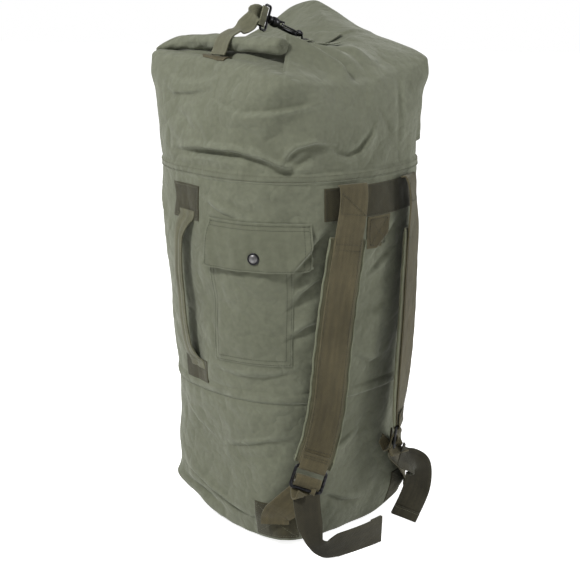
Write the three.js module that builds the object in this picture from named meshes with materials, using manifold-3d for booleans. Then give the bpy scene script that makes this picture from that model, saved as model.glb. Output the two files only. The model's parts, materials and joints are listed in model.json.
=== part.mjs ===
// A two-strap canvas duffel bag, standing packed and closed. Millimetres, +Z up, the pocket faces -Y.
// Angles round the bag are measured from -Y towards +X, in degrees.
import * as THREE from 'three';
import { mergeVertices } from 'three/addons/utils/BufferGeometryUtils.js';
import Module from 'manifold-3d';

const wasm = await Module();
wasm.setup();

// ---- Driving dimensions -------------------------------------------------------------------------
const CLOTH = 3; // body cloth with its seam allowances
const WEBBING = 2.4;
const GAP = 0.3; // between sewn pieces that touch
const SKIN = 0.8; // from the body's surface to a piece sewn on it, over the wall's facets
const LOWER_SEAM = 205;
const UPPER_SEAM = 500;
const SHOULDER = 640; // height of the top corners
const CROWN = 16; // rise of the folded top from its corners to its middle
const BACK_LIFT = 62; // how much higher the back corner stands
const LEVEL_MIDDLE = 40; // the folded top is level this far back of the middle
const CORNER_REACH = 184; // from the axis to a top corner
const MOUTH_SHARE = 0.08; // what is left open of the folded top

const STRAP_FACE = 58; // the direction of the flat side that carries the shoulder straps
const CLOSURE_FACE = STRAP_FACE - 90; // the side whose edge is rolled, under the closing strap
const HANDLE_SIDE = -41;

// Height, distance from the axis to a flat side, and how square the section is (2 is round).
const SECTIONS = [
  [0, 126, 4.5],
  [45, 137, 3.4],
  [145, 139, 2.7],
  [LOWER_SEAM, 146, 2.5],
  [300, 157, 2.3],
  [400, 164, 2.25],
  [UPPER_SEAM, 163, 2.4],
  [570, 161, 2.9],
  [SHOULDER, 142, 8],
];

// The closing hook, in the frame of the side that its strap comes over: its eye, its length and its fall.
const EYE = { x: 24, y: -70, z: 699, width: 29, depth: 13, wire: 3.4 };
const STAPLE = { x: 22, y: -4.4, z: 673.2, height: 21 };

const CLOTH_GREEN = 0x6c705c;
const WEBBING_GREEN = 0x57523c;
const DARK_GREEN = 0x3a3627;
const BLACK_METAL = 0x1b1c1e;

// ---- The body's surface ---------------------------------------------------------------------------
const radians = THREE.MathUtils.degToRad;

// A section at a height, with its size eased between the stations on either side.
function section(z) {
  const height = THREE.MathUtils.clamp(z, 0, SHOULDER);
  const above = Math.max(1, SECTIONS.findIndex((s) => s[0] >= height));
  const [z0, half0, power0] = SECTIONS[above - 1];
  const [z1, half1, power1] = SECTIONS[above];
  const t = (height - z0) / (z1 - z0);
  return { half: THREE.MathUtils.lerp(half0, half1, t), power: 1 / THREE.MathUtils.lerp(1 / power0, 1 / power1, t) };
}

// Distance from the axis to the body's surface.
function reach(angle, z) {
  const { half, power } = section(z);
  const turn = radians(angle - STRAP_FACE);
  return half / (Math.abs(Math.cos(turn)) ** power + Math.abs(Math.sin(turn)) ** power) ** (1 / power);
}

function around(angle, radius, z) {
  return new THREE.Vector3(radius * Math.sin(radians(angle)), -radius * Math.cos(radians(angle)), z);
}

// A point that stands "out" from the body's surface.
const on = (angle, z, out = 0) => around(angle, reach(angle, z) + out, z);

// Where the rims meet over the contents, in the bag's frame: the staple stands here.
const MOUTH = new THREE.Vector3(STAPLE.x, STAPLE.y, 0).applyAxisAngle(new THREE.Vector3(0, 0, 1), radians(CLOSURE_FACE));

// A point of the folded top, a share of the way from its mouth out to its edge.
function roof(angle, share, drop = 0) {
  const point = around(angle, share * reach(angle, SHOULDER), 0).addScaledVector(MOUTH, 1 - share);
  const back = point.dot(around(STRAP_FACE + 135, 1, 0));
  const lift = Math.max(0, (back - LEVEL_MIDDLE) / (CORNER_REACH - LEVEL_MIDDLE));
  return point.setZ(SHOULDER + CROWN * (1 - share ** 2) + BACK_LIFT * lift - drop);
}

// ---- Shaping helpers --------------------------------------------------------------------------------
function clothMaterial(color) {
  return new THREE.MeshStandardMaterial({ color, roughness: 0.9, metalness: 0 });
}
const canvas = clothMaterial(CLOTH_GREEN);
const webbing = clothMaterial(WEBBING_GREEN);
const darkWebbing = clothMaterial(DARK_GREEN);
const metal = new THREE.MeshStandardMaterial({ color: BLACK_METAL, roughness: 0.35, metalness: 0.8 });

function named(name, geometry, material) {
  const mesh = new THREE.Mesh(geometry, material);
  mesh.name = name;
  return mesh;
}

// Moves every vertex of a geometry to place(vertex).
function reshape(geometry, place) {
  const position = geometry.getAttribute('position');
  const vertex = new THREE.Vector3();
  for (let i = 0; i < position.count; i++) {
    const moved = place(vertex.fromBufferAttribute(position, i));
    position.setXYZ(i, moved.x, moved.y, moved.z);
  }
  return geometry;
}

// A ring round the bag: a lathe of as many rings as the profile has places, each put where it belongs.
function ringOf(places, steps = 48) {
  const profile = [...places, places[0]].map((_, i) => new THREE.Vector2(1, i % places.length));
  return reshape(new THREE.LatheGeometry(profile, steps), (v) =>
    places[Math.round(v.y)](THREE.MathUtils.radToDeg(Math.atan2(v.x, v.z))),
  );
}

// A slab bent round the body: angle and height span it, and out(z) gives its inner and outer standing.
function wrapped([angle0, angle1], [z0, z1], out, columns, rows) {
  return reshape(new THREE.BoxGeometry(1, 1, 1, columns, rows, 1), (v) => {
    const z = THREE.MathUtils.lerp(z0, z1, v.y + 0.5);
    const [inner, outer] = out(z);
    return on(THREE.MathUtils.lerp(angle0, angle1, v.x + 0.5), z, v.z > 0 ? outer : inner);
  });
}

// A strap: a flat bar drawn along a smooth path. Each station is { at, across } with its own width direction.
function strap(stations, width, thickness, steps) {
  const path = new THREE.CatmullRomCurve3(stations.map((s) => s.at), false, 'centripetal');
  const turn = new THREE.CatmullRomCurve3(stations.map((s) => s.across));
  const widthAt = typeof width === 'function' ? width : () => width;
  return reshape(new THREE.BoxGeometry(1, 1, 1, 1, 1, steps), (v) => {
    const t = v.z + 0.5;
    const tangent = path.getTangent(t);
    const across = turn.getPoint(t).addScaledVector(tangent, -turn.getPoint(t).dot(tangent)).normalize();
    const normal = new THREE.Vector3().crossVectors(tangent, across);
    return path.getPoint(t).addScaledVector(across, v.x * widthAt(t)).addScaledVector(normal, v.y * thickness);
  });
}

function solidOf(geometry) {
  const bare = new THREE.BufferGeometry().setAttribute('position', geometry.getAttribute('position'));
  if (geometry.index) bare.setIndex(geometry.index);
  const merged = mergeVertices(bare, 1e-3);
  return new wasm.Manifold(new wasm.Mesh({
    numProp: 3,
    vertProperties: merged.getAttribute('position').array,
    triVerts: new Uint32Array(merged.index.array),
  }));
}

function geometryOf(solid) {
  const { vertProperties, triVerts } = solid.getMesh();
  return new THREE.BufferGeometry()
    .setAttribute('position', new THREE.BufferAttribute(vertProperties, 3))
    .setIndex(new THREE.BufferAttribute(triVerts, 1));
}

const cut = (geometry, ...tools) =>
  geometryOf(tools.reduce((solid, tool) => solid.subtract(solidOf(tool)), solidOf(geometry)));
const join = (geometry, ...others) =>
  geometryOf(others.reduce((solid, other) => solid.add(solidOf(other)), solidOf(geometry)));

// A turned piece about +Z, from closed (radius, height) pairs.
const turned = (pairs, steps = 20) =>
  new THREE.LatheGeometry(pairs.map(([r, z]) => new THREE.Vector2(r, z)), steps).rotateX(Math.PI / 2);

const rod = (radius, length, steps = 12) => new THREE.CylinderGeometry(radius, radius, length, steps);

function roundedRectangle(width, height, radius, Kind = THREE.Shape) {
  const [x, y] = [width / 2, height / 2];
  const shape = new Kind();
  shape.moveTo(-x + radius, -y);
  shape.lineTo(x - radius, -y);
  shape.absarc(x - radius, -y + radius, radius, -Math.PI / 2, 0);
  shape.absarc(x - radius, y - radius, radius, 0, Math.PI / 2);
  shape.absarc(-x + radius, y - radius, radius, Math.PI / 2, Math.PI);
  shape.absarc(-x + radius, -y + radius, radius, Math.PI, Math.PI * 1.5);
  shape.closePath();
  return shape;
}

const slab = (shape, depth, curveSegments = 4) =>
  new THREE.ExtrudeGeometry(shape, { depth, bevelEnabled: false, curveSegments });

// A group whose own -Y looks out of the bag at an angle.
function facing(angle) {
  const group = new THREE.Group();
  group.rotation.z = radians(angle);
  return group;
}

// ---- Body panels --------------------------------------------------------------------------------------
function wall(bottom, top, rows) {
  const heights = Array.from({ length: rows + 1 }, (_, i) => THREE.MathUtils.lerp(bottom, top, i / rows));
  return ringOf([
    ...heights.map((z) => (angle) => on(angle, z)),
    ...heights.reverse().map((z) => (angle) => on(angle, z, -CLOTH)),
  ]);
}

function basePanel() {
  const disc = [[0, CLOTH], [0.5, CLOTH], [1, CLOTH], [1, 0], [0.5, 0], [0, 0]];
  const profile = disc.map(([share, z]) => new THREE.Vector2(share, z)).reverse();
  return reshape(new THREE.LatheGeometry(profile, 48), (v) => {
    const share = Math.hypot(v.x, v.z);
    const angle = share > 0 ? THREE.MathUtils.radToDeg(Math.atan2(v.x, v.z)) : 0;
    return around(angle, share * reach(angle, 0), v.y);
  });
}

// The wall above the upper seam, folded in over the contents as far as the mouth that is left open.
function upperPanel() {
  const outside = [[1, 14], [0.96, 1], [0.8, 0], [0.55, 0], [0.32, 0], [MOUTH_SHARE, 0]];
  const inside = [[MOUTH_SHARE, 3], [0.32, 3], [0.55, 3], [0.8, 3], [0.94, 5], [0.98, 16]];
  return ringOf([
    (angle) => on(angle, UPPER_SEAM + GAP),
    (angle) => on(angle, 570),
    ...[...outside, ...inside].map(([share, drop]) => (angle) => roof(angle, share, drop)),
    (angle) => on(angle, 570, -CLOTH),
    (angle) => on(angle, UPPER_SEAM + GAP, -CLOTH),
  ]);
}

// ---- Pocket ---------------------------------------------------------------------------------------------
const POCKET = { angles: [-23.5, 16.5], bottom: 256, top: 416, depth: 12, wallAngle: 0.9 };
const FLAP = { angles: [-24.8, 24.8], top: 444, bottom: 388 };
const SNAP = { z: 405, cap: 7.5, shank: 2.6 };
const FLAP_STANDING = [[FLAP.top, 1.2], [434, 10], [424, 16], [FLAP.bottom, 17.5]];

// How far the flap's back stands out at a height: it leaves the body at its seam and clears the pocket.
function flapStanding(z) {
  const below = FLAP_STANDING.findIndex(([height]) => height <= z + 1e-6);
  if (below <= 0) return FLAP_STANDING[0][1];
  const [[z0, out0], [z1, out1]] = [FLAP_STANDING[below - 1], FLAP_STANDING[below]];
  return THREE.MathUtils.mapLinear(z, z0, z1, out0, out1);
}

// A hole along -Y through what stands in front of the body at the snap.
const snapHole = (radius) => rod(radius, 60).translate(0, -reach(0, SNAP.z) - 15, SNAP.z);

function addPocket(bag) {
  const { angles: [left, right], bottom, top, depth, wallAngle } = POCKET;
  const outside = wrapped([left, right], [bottom, top], () => [SKIN, depth], 12, 4);
  const inside = wrapped([left + wallAngle, right - wallAngle], [bottom + WEBBING, top + 9],
    () => [-4, depth - WEBBING], 12, 4);
  bag.add(named('pocket_panel', cut(outside, inside, snapHole(SNAP.shank + 0.4)), canvas));

  const flap = wrapped(FLAP.angles, [FLAP.bottom, FLAP.top],
    (z) => [flapStanding(z), flapStanding(z) + WEBBING], 14, 6);
  bag.add(named('pocket_flap', cut(flap, snapHole(SNAP.shank + 0.4)), canvas));
  bag.add(named('flap_seam_strip', wrapped(FLAP.angles, [FLAP.top + 3.5, FLAP.top + 10],
    () => [SKIN, SKIN + WEBBING], 14, 1), canvas));

  // The snap's four pressed parts share one axis, in the order that they are set from outside in.
  const face = reach(0, SNAP.z);
  const flapBack = face + flapStanding(SNAP.z);
  const flapFront = flapBack + WEBBING;
  const outward = (geometry, standing) => geometry.rotateX(Math.PI / 2).translate(0, -standing, SNAP.z);
  const dome = turned([[0, 0.4], [SNAP.cap, 0.4], [SNAP.cap, 1.4], [5, 3], [0, 3.6]]);
  const shank = turned([[0, -4.4], [SNAP.shank - 0.4, -4.4], [SNAP.shank - 0.4, 1], [0, 1]], 12);
  bag.add(named('snap_cap', outward(join(dome, shank), flapFront), metal));
  bag.add(named('snap_socket', outward(turned([
    [SNAP.shank, -0.9], [SNAP.shank, -2.4], [4.6, -3.2], [6.4, -3.2], [6.4, -0.9], [SNAP.shank, -0.9],
  ]), flapBack), metal));
  const panelFront = face + depth;
  const panelBack = panelFront - WEBBING;
  const head = turned([[0, 0.5], [5.6, 0.5], [5.6, 1.1], [2.6, 1.1], [2.6, 1.7], [0, 1.7]]);
  const stem = turned([[0, -3.1], [SNAP.shank - 0.4, -3.1], [SNAP.shank - 0.4, 1], [0, 1]], 12);
  bag.add(named('snap_stud', outward(join(head, stem), panelFront), metal));
  bag.add(named('snap_post', outward(turned([
    [SNAP.shank, -1.2], [SNAP.shank, -2.2], [6, -2.2], [6, -1.2], [SNAP.shank, -1.2],
  ]), panelBack), metal));
}

// ---- Side carry handle -----------------------------------------------------------------------------------
const HANDLE = { patch: 56, upper: [440, 485], lower: [212, 246], stand: 17, end: 8.5, grip: 18, thick: 5 };

function addHandle(bag) {
  const halfAngle = THREE.MathUtils.radToDeg(HANDLE.patch / 2 / 165);
  const span = [HANDLE_SIDE - halfAngle, HANDLE_SIDE + halfAngle];
  const sewn = () => [SKIN, SKIN + WEBBING];
  bag.add(named('handle_patch_upper', wrapped(span, HANDLE.upper, sewn, 5, 2), darkWebbing));
  bag.add(named('handle_patch_lower', wrapped(span, HANDLE.lower, sewn, 5, 2), darkWebbing));

  // The grip is the same webbing folded lengthwise, so it is narrow and thick.
  const across = new THREE.Vector3(Math.cos(radians(HANDLE_SIDE)), Math.sin(radians(HANDLE_SIDE)), 0);
  const top = HANDLE.upper[0] - 1;
  const bottom = HANDLE.lower[1] + 1;
  const stations = [[0, HANDLE.end], [0.14, HANDLE.stand - 2], [0.5, HANDLE.stand], [0.86, HANDLE.stand - 2],
    [1, HANDLE.end]].map(([t, out]) => ({ at: on(HANDLE_SIDE, THREE.MathUtils.lerp(top, bottom, t), out), across }));
  bag.add(named('handle_grip', strap(stations, HANDLE.grip, HANDLE.thick, 20), webbing));
}

// ---- Shoulder straps ----------------------------------------------------------------------------------------
const BAND = { angles: [32, 86], z: [450, 492] };
const PAD = { width: 54, thick: 7, webbing: 40, top: 425 };
const FOLD_Z = UPPER_SEAM + 2;
const BUCKLE = { width: 47, height: 34, rail: 4.5, thick: 3, barTravel: 5 };

// Each strap: stations down the bag as [angle, height, out, twist], from the fold above the band to the buckle.
const STRAPS = {
  left: {
    run: [[42, FOLD_Z, 4.5, 0], [42, FOLD_Z + 2, 9.5, 0], [42, 492, 13, 0], [41.5, 470, 14, 0], [39.5, 428, 14, 0],
      [36, 352, 15, 0], [33.5, 275, 17, 0], [31.5, 204, 21, 0], [27.8, 150, 25, 0], [24.6, 124, 27, 0]],
    base: 8,
    tail: [[21.5, 88, 34, 0], [21.5, 70, 43, 0], [21.5, 46, 54, 0], [22, 27, 63, 12], [26, 20, 68, 48],
      [33, 21, 70, 64], [40, 21, 70, 68], [47, 21, 69, 70], [53, 21, 67, 72]],
  },
  right: {
    run: [[78, FOLD_Z, 4.5, 0], [78, FOLD_Z + 2, 9.5, 4], [78, 492, 13, 8], [78, 470, 15, 12], [77.5, 428, 17, 15],
      [76.5, 352, 20, 18], [75.5, 290, 24, 20], [74.5, 235, 28, 20], [73.5, 182, 31, 20], [73, 157, 32, 20]],
    base: 100,
    tail: [[71.5, 113, 43, 0], [73.5, 101, 47, -25], [74, 84, 48, -46], [72, 60, 47, -54], [70, 34, 46, -55],
      [68.5, 8, 45, -55]],
  },
};

// The station's place, with its width direction along the body turned by its twist about the vertical.
const station = ([angle, z, out, twist]) => ({
  at: on(angle, z, out),
  across: new THREE.Vector3(Math.cos(radians(angle + twist)), Math.sin(radians(angle + twist)), 0),
});

// A tail lies on its edge on the floor where it has left the buckle: its twist leans it up instead.
const leaning = ([angle, z, out, twist]) => ({
  at: on(angle, z, out),
  across: new THREE.Vector3(Math.cos(radians(angle)), Math.sin(radians(angle)), 0)
    .multiplyScalar(Math.cos(radians(twist))).add(new THREE.Vector3(0, 0, Math.sin(radians(twist)) * 1)),
});

function buckleFrame() {
  const outline = roundedRectangle(BUCKLE.width, BUCKLE.height, 4);
  const window = roundedRectangle(BUCKLE.width - 2 * BUCKLE.rail, BUCKLE.height - 2 * BUCKLE.rail, 1.5, THREE.Path);
  outline.holes.push(window);
  return slab(outline, BUCKLE.thick);
}

function addShoulderStrap(bag, side) {
  const { run, base, tail } = STRAPS[side];
  const material = side === 'left' ? webbing : webbing;
  const stations = run.map(station);
  bag.add(named(`strap_webbing_${side}`, strap(stations, PAD.webbing, WEBBING, 44), material));

  // The pad lies between that webbing and the bag, from below the band to just above the buckle.
  const behind = (PAD.thick + WEBBING) / 2 + 0.9;
  const padRun = run.filter(([, z]) => z <= 430).map(([angle, z, out, twist]) => station([angle, z, out - behind, twist]));
  bag.add(named(`shoulder_pad_${side}`, strap(padRun, PAD.width, PAD.thick, 20), canvas));

  // The buckle hangs on the webbing's end, in the webbing's plane there.
  const [end, before] = [stations.at(-1), stations.at(-2)];
  const down = end.at.clone().sub(before.at).normalize();
  const across = end.across.clone().addScaledVector(down, -end.across.dot(down)).normalize();
  const buckle = new THREE.Group();
  buckle.quaternion.setFromRotationMatrix(new THREE.Matrix4().makeBasis(
    across, down.clone().negate(), new THREE.Vector3().crossVectors(across, down.clone().negate())));
  buckle.position.copy(end.at).addScaledVector(down, BUCKLE.height / 2 + 0.6);
  const frame = named(`buckle_frame_${side}`, buckleFrame().translate(0, 0, -BUCKLE.thick / 2), metal);
  const bar = named(`buckle_bar_${side}`, new THREE.BoxGeometry(BUCKLE.width - 2 * BUCKLE.rail - 0.8, 5, 2.2)
    .translate(0, -BUCKLE.height / 2 + BUCKLE.rail + 6.5, 0), metal);
  buckle.add(frame, bar);
  bag.add(buckle);

  // Base webbing: a bar-tacked end on the base's corner, and the run up behind the buckle.
  const half = 12;
  bag.add(named(`base_anchor_${side}`, wrapped([base - half, base + half], [6, 62],
    () => [SKIN, SKIN + WEBBING], 6, 3), darkWebbing));
  const up = run.at(-1);
  const between = (t, out) =>
    [THREE.MathUtils.lerp(base, up[0], t), THREE.MathUtils.lerp(50, up[1] - 30, t), out, up[3] * t];
  const lowerRun = [between(0, 8), between(0.25, 9), between(0.7, 12), between(1, up[2] - 10)].map(station);
  bag.add(named(`lower_webbing_${side}`, strap(lowerRun, 38, WEBBING, 12), webbing));

  const tailStations = tail.map(side === 'left' ? leaning : station);
  bag.add(named(`strap_tail_${side}`, strap(tailStations, 38, WEBBING, 28), darkWebbing));
}

function addShoulderStraps(bag) {
  bag.add(named('strap_anchor_band', wrapped(BAND.angles, BAND.z, () => [SKIN, SKIN + WEBBING], 12, 2), darkWebbing));
  bag.add(named('strap_reinforcement', wrapped([56, 66], [408, BAND.z[0] - 1],
    () => [SKIN, SKIN + WEBBING], 4, 2), webbing));
  addShoulderStrap(bag, 'left');
  addShoulderStrap(bag, 'right');
}

// ---- Top closure, in the frame of the side that it comes over ------------------------------------------------
const ROLL = { out: 105, z: 664, radius: 11.5, halfLength: 96 };
const CLOSING_STRAP = 28;
const WRAP_END = [0.5, -98, 681.8]; // where the closing strap leaves the roll
const TAB = { length: 62, width: 40, thick: 1.6, hole: 9.7, first: 658.4, step: 3.3 };

function addRoll(top) {
  const path = new THREE.CatmullRomCurve3([
    [-ROLL.halfLength, 8, -4], [-ROLL.halfLength * 0.6, 1, 0], [0, 0, 1], [ROLL.halfLength * 0.6, 1, 2],
    [ROLL.halfLength, 6, 2],
  ].map(([x, inward, up]) => new THREE.Vector3(x, -ROLL.out + inward, ROLL.z + up)));
  const round = new THREE.Shape().absarc(0, 0, ROLL.radius, 0, Math.PI * 2);
  top.add(named('rolled_hem', new THREE.ExtrudeGeometry(round, {
    steps: 14, extrudePath: path, bevelEnabled: false, curveSegments: 7,
  }), canvas));
}

function addClosingStrap(top) {
  // The patch lies on the slope between the top's edge and the roll.
  const patch = new THREE.Shape([[-26, 0], [-8, 9], [22, 9], [22, -9], [-20, -9]]
    .map(([x, y]) => new THREE.Vector2(x, y)));
  top.add(named('closing_strap_patch', slab(patch, WEBBING).rotateX(0.18).translate(0, -129, 652), darkWebbing));

  // The strap leaves the roll flat, turns on edge and loops round the eye's upright bar.
  const { origin, along, side } = hookFrame();
  const round = (ahead, aside) => origin.clone().addScaledVector(along, ahead).addScaledVector(side, aside);
  const upright = new THREE.Vector3().crossVectors(along, side);
  const flat = new THREE.Vector3(-1, 0, 0);
  const stations = [
    { at: new THREE.Vector3(...WRAP_END).add(new THREE.Vector3(1.4, 5.2, 1.4)), across: flat },
    { at: new THREE.Vector3(5, -89, 687), across: new THREE.Vector3(-0.97, 0, 0.24) },
    { at: new THREE.Vector3(13, -83, 693), across: new THREE.Vector3(-0.75, 0.1, 0.65) },
    ...[[-9, 5], [-2, 4.2], [2.4, 3.1], [4.3, 0], [2.4, -3.1], [-2, -4.2], [-8, -4.4]]
      .map(([ahead, aside]) => ({ at: round(ahead, aside), across: upright })),
  ];
  const width = (t) => THREE.MathUtils.lerp(CLOSING_STRAP, EYE.width - 4, Math.min(1, 3 * t));
  top.add(named('closing_strap', strap(stations, width, WEBBING, 36), webbing));
  const wrap = [[0, -123.5, 658], [0, -119.8, 667], [0, -113, 677], [0, -103, 680.8], WRAP_END]
    .map(([x, y, z]) => ({ at: new THREE.Vector3(x, y, z), across: flat }));
  top.add(named('closing_strap_wrap', strap(wrap, CLOSING_STRAP, WEBBING, 16), webbing));
}

// The snap hook, modelled along its own +X from the eye's bar to the tip, then pointed at the mouth.
const HOOK = { eyeBar: 3.4, swivel: 15, bay: [30, 62], half: 9.5, wire: 2.6, gate: [36, 61] };

function hookFrame() {
  const origin = new THREE.Vector3(EYE.x, EYE.y, EYE.z);
  const along = new THREE.Vector3(STAPLE.x, STAPLE.y, STAPLE.z).sub(origin).normalize();
  const side = new THREE.Vector3(0, 0, 1).cross(along).normalize();
  return { origin, along, side };
}

function addSnapHook(top) {
  const hook = new THREE.Group();
  const { origin, along, side } = hookFrame();
  hook.quaternion.setFromRotationMatrix(
    new THREE.Matrix4().makeBasis(along, side, new THREE.Vector3().crossVectors(along, side)));
  hook.position.copy(origin);

  // Eye: an upright rectangular loop, its plane across the width, with the swivel's collar on its far bar.
  const outline = roundedRectangle(EYE.depth, EYE.width + 2 * EYE.wire, 3);
  outline.holes.push(roundedRectangle(EYE.depth - 2 * EYE.wire, EYE.width, 1.4, THREE.Path));
  const loop = slab(outline, EYE.wire).translate(EYE.depth / 2 - EYE.wire / 2, 0, -EYE.wire / 2).rotateX(Math.PI / 2);
  const collar = turned([[0, 0], [5.6, 0], [5.6, 7], [0, 7]], 16).rotateY(Math.PI / 2).translate(9, 0, 0);
  const stem = turned([[0, 0], [2.4, 0], [2.4, 8.9], [4.4, 8.9], [4.4, 10.7], [0, 10.7]], 16)
    .rotateY(Math.PI / 2).translate(14, 0, 0);
  hook.add(named('hook_eye', join(loop, collar, stem), metal));

  // Hook body: a neck bored for the stem, a back bar and a nose round a bay that the gate closes.
  const neck = turned([[2.8, 0], [6.2, 0], [6.8, 5], [6.2, 12], [0, 12], [0, 8.8], [4.9, 8.8], [4.9, 6], [2.8, 6],
    [2.8, 0]], 16).rotateY(Math.PI / 2).translate(16.5, 0, 0);
  const nose = new THREE.CatmullRomCurve3([
    [27, 2], [34, 7.6], [46, HOOK.half], [58, HOOK.half], [66.5, 7.4], [70.5, 0], [67.5, -6.6], [63.4, -8.8],
  ].map(([x, y]) => new THREE.Vector3(x, y, 0)));
  const round = new THREE.Shape().absarc(0, 0, HOOK.wire, 0, Math.PI * 2);
  const bar = new THREE.ExtrudeGeometry(round, { steps: 22, extrudePath: nose, bevelEnabled: false, curveSegments: 5 });
  const lug = slab(roundedRectangle(9, 6.4, 2), 5.6).translate(30, -6.4, -2.8);
  const slot = new THREE.BoxGeometry(16, 14, 2.9).translate(37, -9.6, 0);
  const pinHole = rod(1.25, 20, 10).rotateX(Math.PI / 2).translate(31.4, -6.8, 0);
  hook.add(named('hook_body', cut(join(neck, bar, lug), slot, pinHole), metal));
  const leaf = slab(roundedRectangle(32.6, 3.4, 1.6), 2.2).translate(45.6, -6.8, -1.1);
  const gateHole = rod(1.25, 20, 10).rotateX(Math.PI / 2).translate(31.4, -6.8, 0);
  hook.add(named('hook_gate', cut(leaf, gateHole), metal));
  hook.add(named('gate_pin', rod(0.95, 6.4, 10).rotateX(Math.PI / 2).translate(31.4, -6.8, 0), metal));
  top.add(hook);
}

// The rims of the other three sides meet over the mouth: each has a tab with a grommet, over the staple.
function addMouth(top) {
  const mouth = new THREE.Group();
  mouth.position.set(STAPLE.x, STAPLE.y, 0);
  const flat = new THREE.Shape();
  flat.absarc(0, 0, TAB.width / 2, 0, Math.PI);
  flat.lineTo(-TAB.width / 2, -TAB.length);
  flat.lineTo(TAB.width / 2, -TAB.length);
  flat.holes.push(new THREE.Path().absarc(0, 0, TAB.hole, 0, Math.PI * 2));
  ['right', 'back', 'left'].forEach((name, i) => {
    const z = TAB.first + i * TAB.step;
    const turn = radians(90 * (i + 1));
    mouth.add(named(`rim_tab_${name}`, slab(flat, TAB.thick, 8).rotateZ(turn).translate(0, 0, z), canvas));
    mouth.add(named(`grommet_${name}`, turned([
      [7.8, -0.7], [15, -0.7], [15, -0.25], [9.3, -0.25], [9.3, TAB.thick + 0.25], [13.4, TAB.thick + 0.25],
      [13.4, TAB.thick + 0.7], [7.8, TAB.thick + 0.7], [7.8, -0.7],
    ], 24).translate(0, 0, z), metal));
  });
  const wire = new THREE.CatmullRomCurve3([[-5.6, 0], [-5.6, 13], [-4.1, 18.6], [0, STAPLE.height], [4.1, 18.6], [5.6, 13],
    [5.6, 0]].map(([y, up]) => new THREE.Vector3(0, y, TAB.first - 1.4 + up)));
  const round = new THREE.Shape().absarc(0, 0, 1.7, 0, Math.PI * 2);
  const loop = new THREE.ExtrudeGeometry(round, { steps: 18, extrudePath: wire, bevelEnabled: false, curveSegments: 4 });
  const plate = slab(roundedRectangle(38, 32, 6), 1.2).translate(0, 0, TAB.first - 2.1);
  mouth.add(named('staple', join(plate, loop), metal));
  top.add(mouth);
}

// ---- Assembly --------------------------------------------------------------------------------------------------
const bag = new THREE.Group();
bag.add(
  named('base_panel', basePanel(), canvas),
  named('lower_panel', wall(CLOTH + GAP, LOWER_SEAM, 5), canvas),
  named('middle_panel', wall(LOWER_SEAM + GAP, UPPER_SEAM, 5), canvas),
  named('upper_panel', upperPanel(), canvas),
);
addPocket(bag);
addHandle(bag);
addShoulderStraps(bag);
const top = facing(CLOSURE_FACE);
addRoll(top);
addClosingStrap(top);
addSnapHook(top);
addMouth(top);
bag.add(top);

export default bag;
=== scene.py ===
# %% [markdown]
# # A two-strap duffel bag, packed and closed
# The bag is a tall shell of olive canvas in four sewn panels, with a pocket, a side handle, two padded
# shoulder straps and a hooked closing strap. Every piece is made in metres, in the frame of the packed
# model, so it goes where the model says and needs no fitting.

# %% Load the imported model
import json
import math
import bmesh
import bpy
import numpy as np
from mathutils import Matrix, Vector
from mathutils.bvhtree import BVHTree

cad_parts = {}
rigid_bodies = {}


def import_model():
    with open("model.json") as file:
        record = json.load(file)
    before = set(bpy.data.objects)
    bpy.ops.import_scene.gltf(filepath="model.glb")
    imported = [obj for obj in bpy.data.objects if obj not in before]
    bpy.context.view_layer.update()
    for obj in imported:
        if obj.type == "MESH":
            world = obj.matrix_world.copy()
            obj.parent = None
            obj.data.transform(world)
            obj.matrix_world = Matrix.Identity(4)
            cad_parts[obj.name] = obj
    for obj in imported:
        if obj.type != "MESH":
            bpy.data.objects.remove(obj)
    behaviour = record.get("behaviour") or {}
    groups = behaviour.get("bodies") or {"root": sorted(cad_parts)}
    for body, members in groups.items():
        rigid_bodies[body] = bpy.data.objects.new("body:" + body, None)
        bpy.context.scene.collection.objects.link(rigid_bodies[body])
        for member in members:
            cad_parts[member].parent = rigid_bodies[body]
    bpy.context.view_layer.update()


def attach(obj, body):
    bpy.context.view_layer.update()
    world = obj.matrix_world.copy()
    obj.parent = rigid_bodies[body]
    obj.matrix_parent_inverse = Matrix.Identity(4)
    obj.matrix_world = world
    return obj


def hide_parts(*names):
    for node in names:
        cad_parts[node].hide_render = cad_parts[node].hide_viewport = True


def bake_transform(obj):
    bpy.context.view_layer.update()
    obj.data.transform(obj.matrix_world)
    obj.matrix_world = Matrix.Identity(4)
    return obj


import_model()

# %% [markdown]
# ## The camera and the studio
# A long lens from a little above the bag's top keeps its sides nearly upright. The camera sees the floor
# and the world near white, but they light the bag less than that, so that three soft lights can shape
# the cloth. The key comes from the upper left.

# %% Camera, floor and lights
CAMERA_TURN = math.radians(15)
CAMERA_AWAY = 1.85
CAMERA_HEIGHT = 0.80
CAMERA_DIP = math.radians(14.6)
CAMERA_LENS = 84.5
FLOOR_LEVEL = -0.0005
# How strongly the floor and the world light the bag, and how bright the camera sees them.
FLOOR_GLOW = (0.10, 0.85)
WORLD_GLOW = (0.38, 1.0)
LIGHTS = [
    # name, place, aim, size in metres, power in watts
    ("key", (-1.0, -1.6, 2.3), (0, 0, 0.33), 0.35, 58),
    ("right_edge", (2.1, 0.2, 0.9), (0, 0, 0.4), 1.0, 19),
    ("back_left", (-1.6, 1.2, 1.6), (0, 0, 0.45), 0.9, 7),
]


def add_camera():
    data = bpy.data.cameras.new("camera")
    data.lens = CAMERA_LENS
    data.sensor_width = 36.0
    camera = bpy.data.objects.new("camera", data)
    camera.location = (CAMERA_AWAY * math.sin(CAMERA_TURN), -CAMERA_AWAY * math.cos(CAMERA_TURN),
                       CAMERA_HEIGHT)
    camera.rotation_euler = (math.pi / 2 - CAMERA_DIP, 0, CAMERA_TURN)
    bpy.context.collection.objects.link(camera)
    bpy.context.scene.camera = camera


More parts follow.
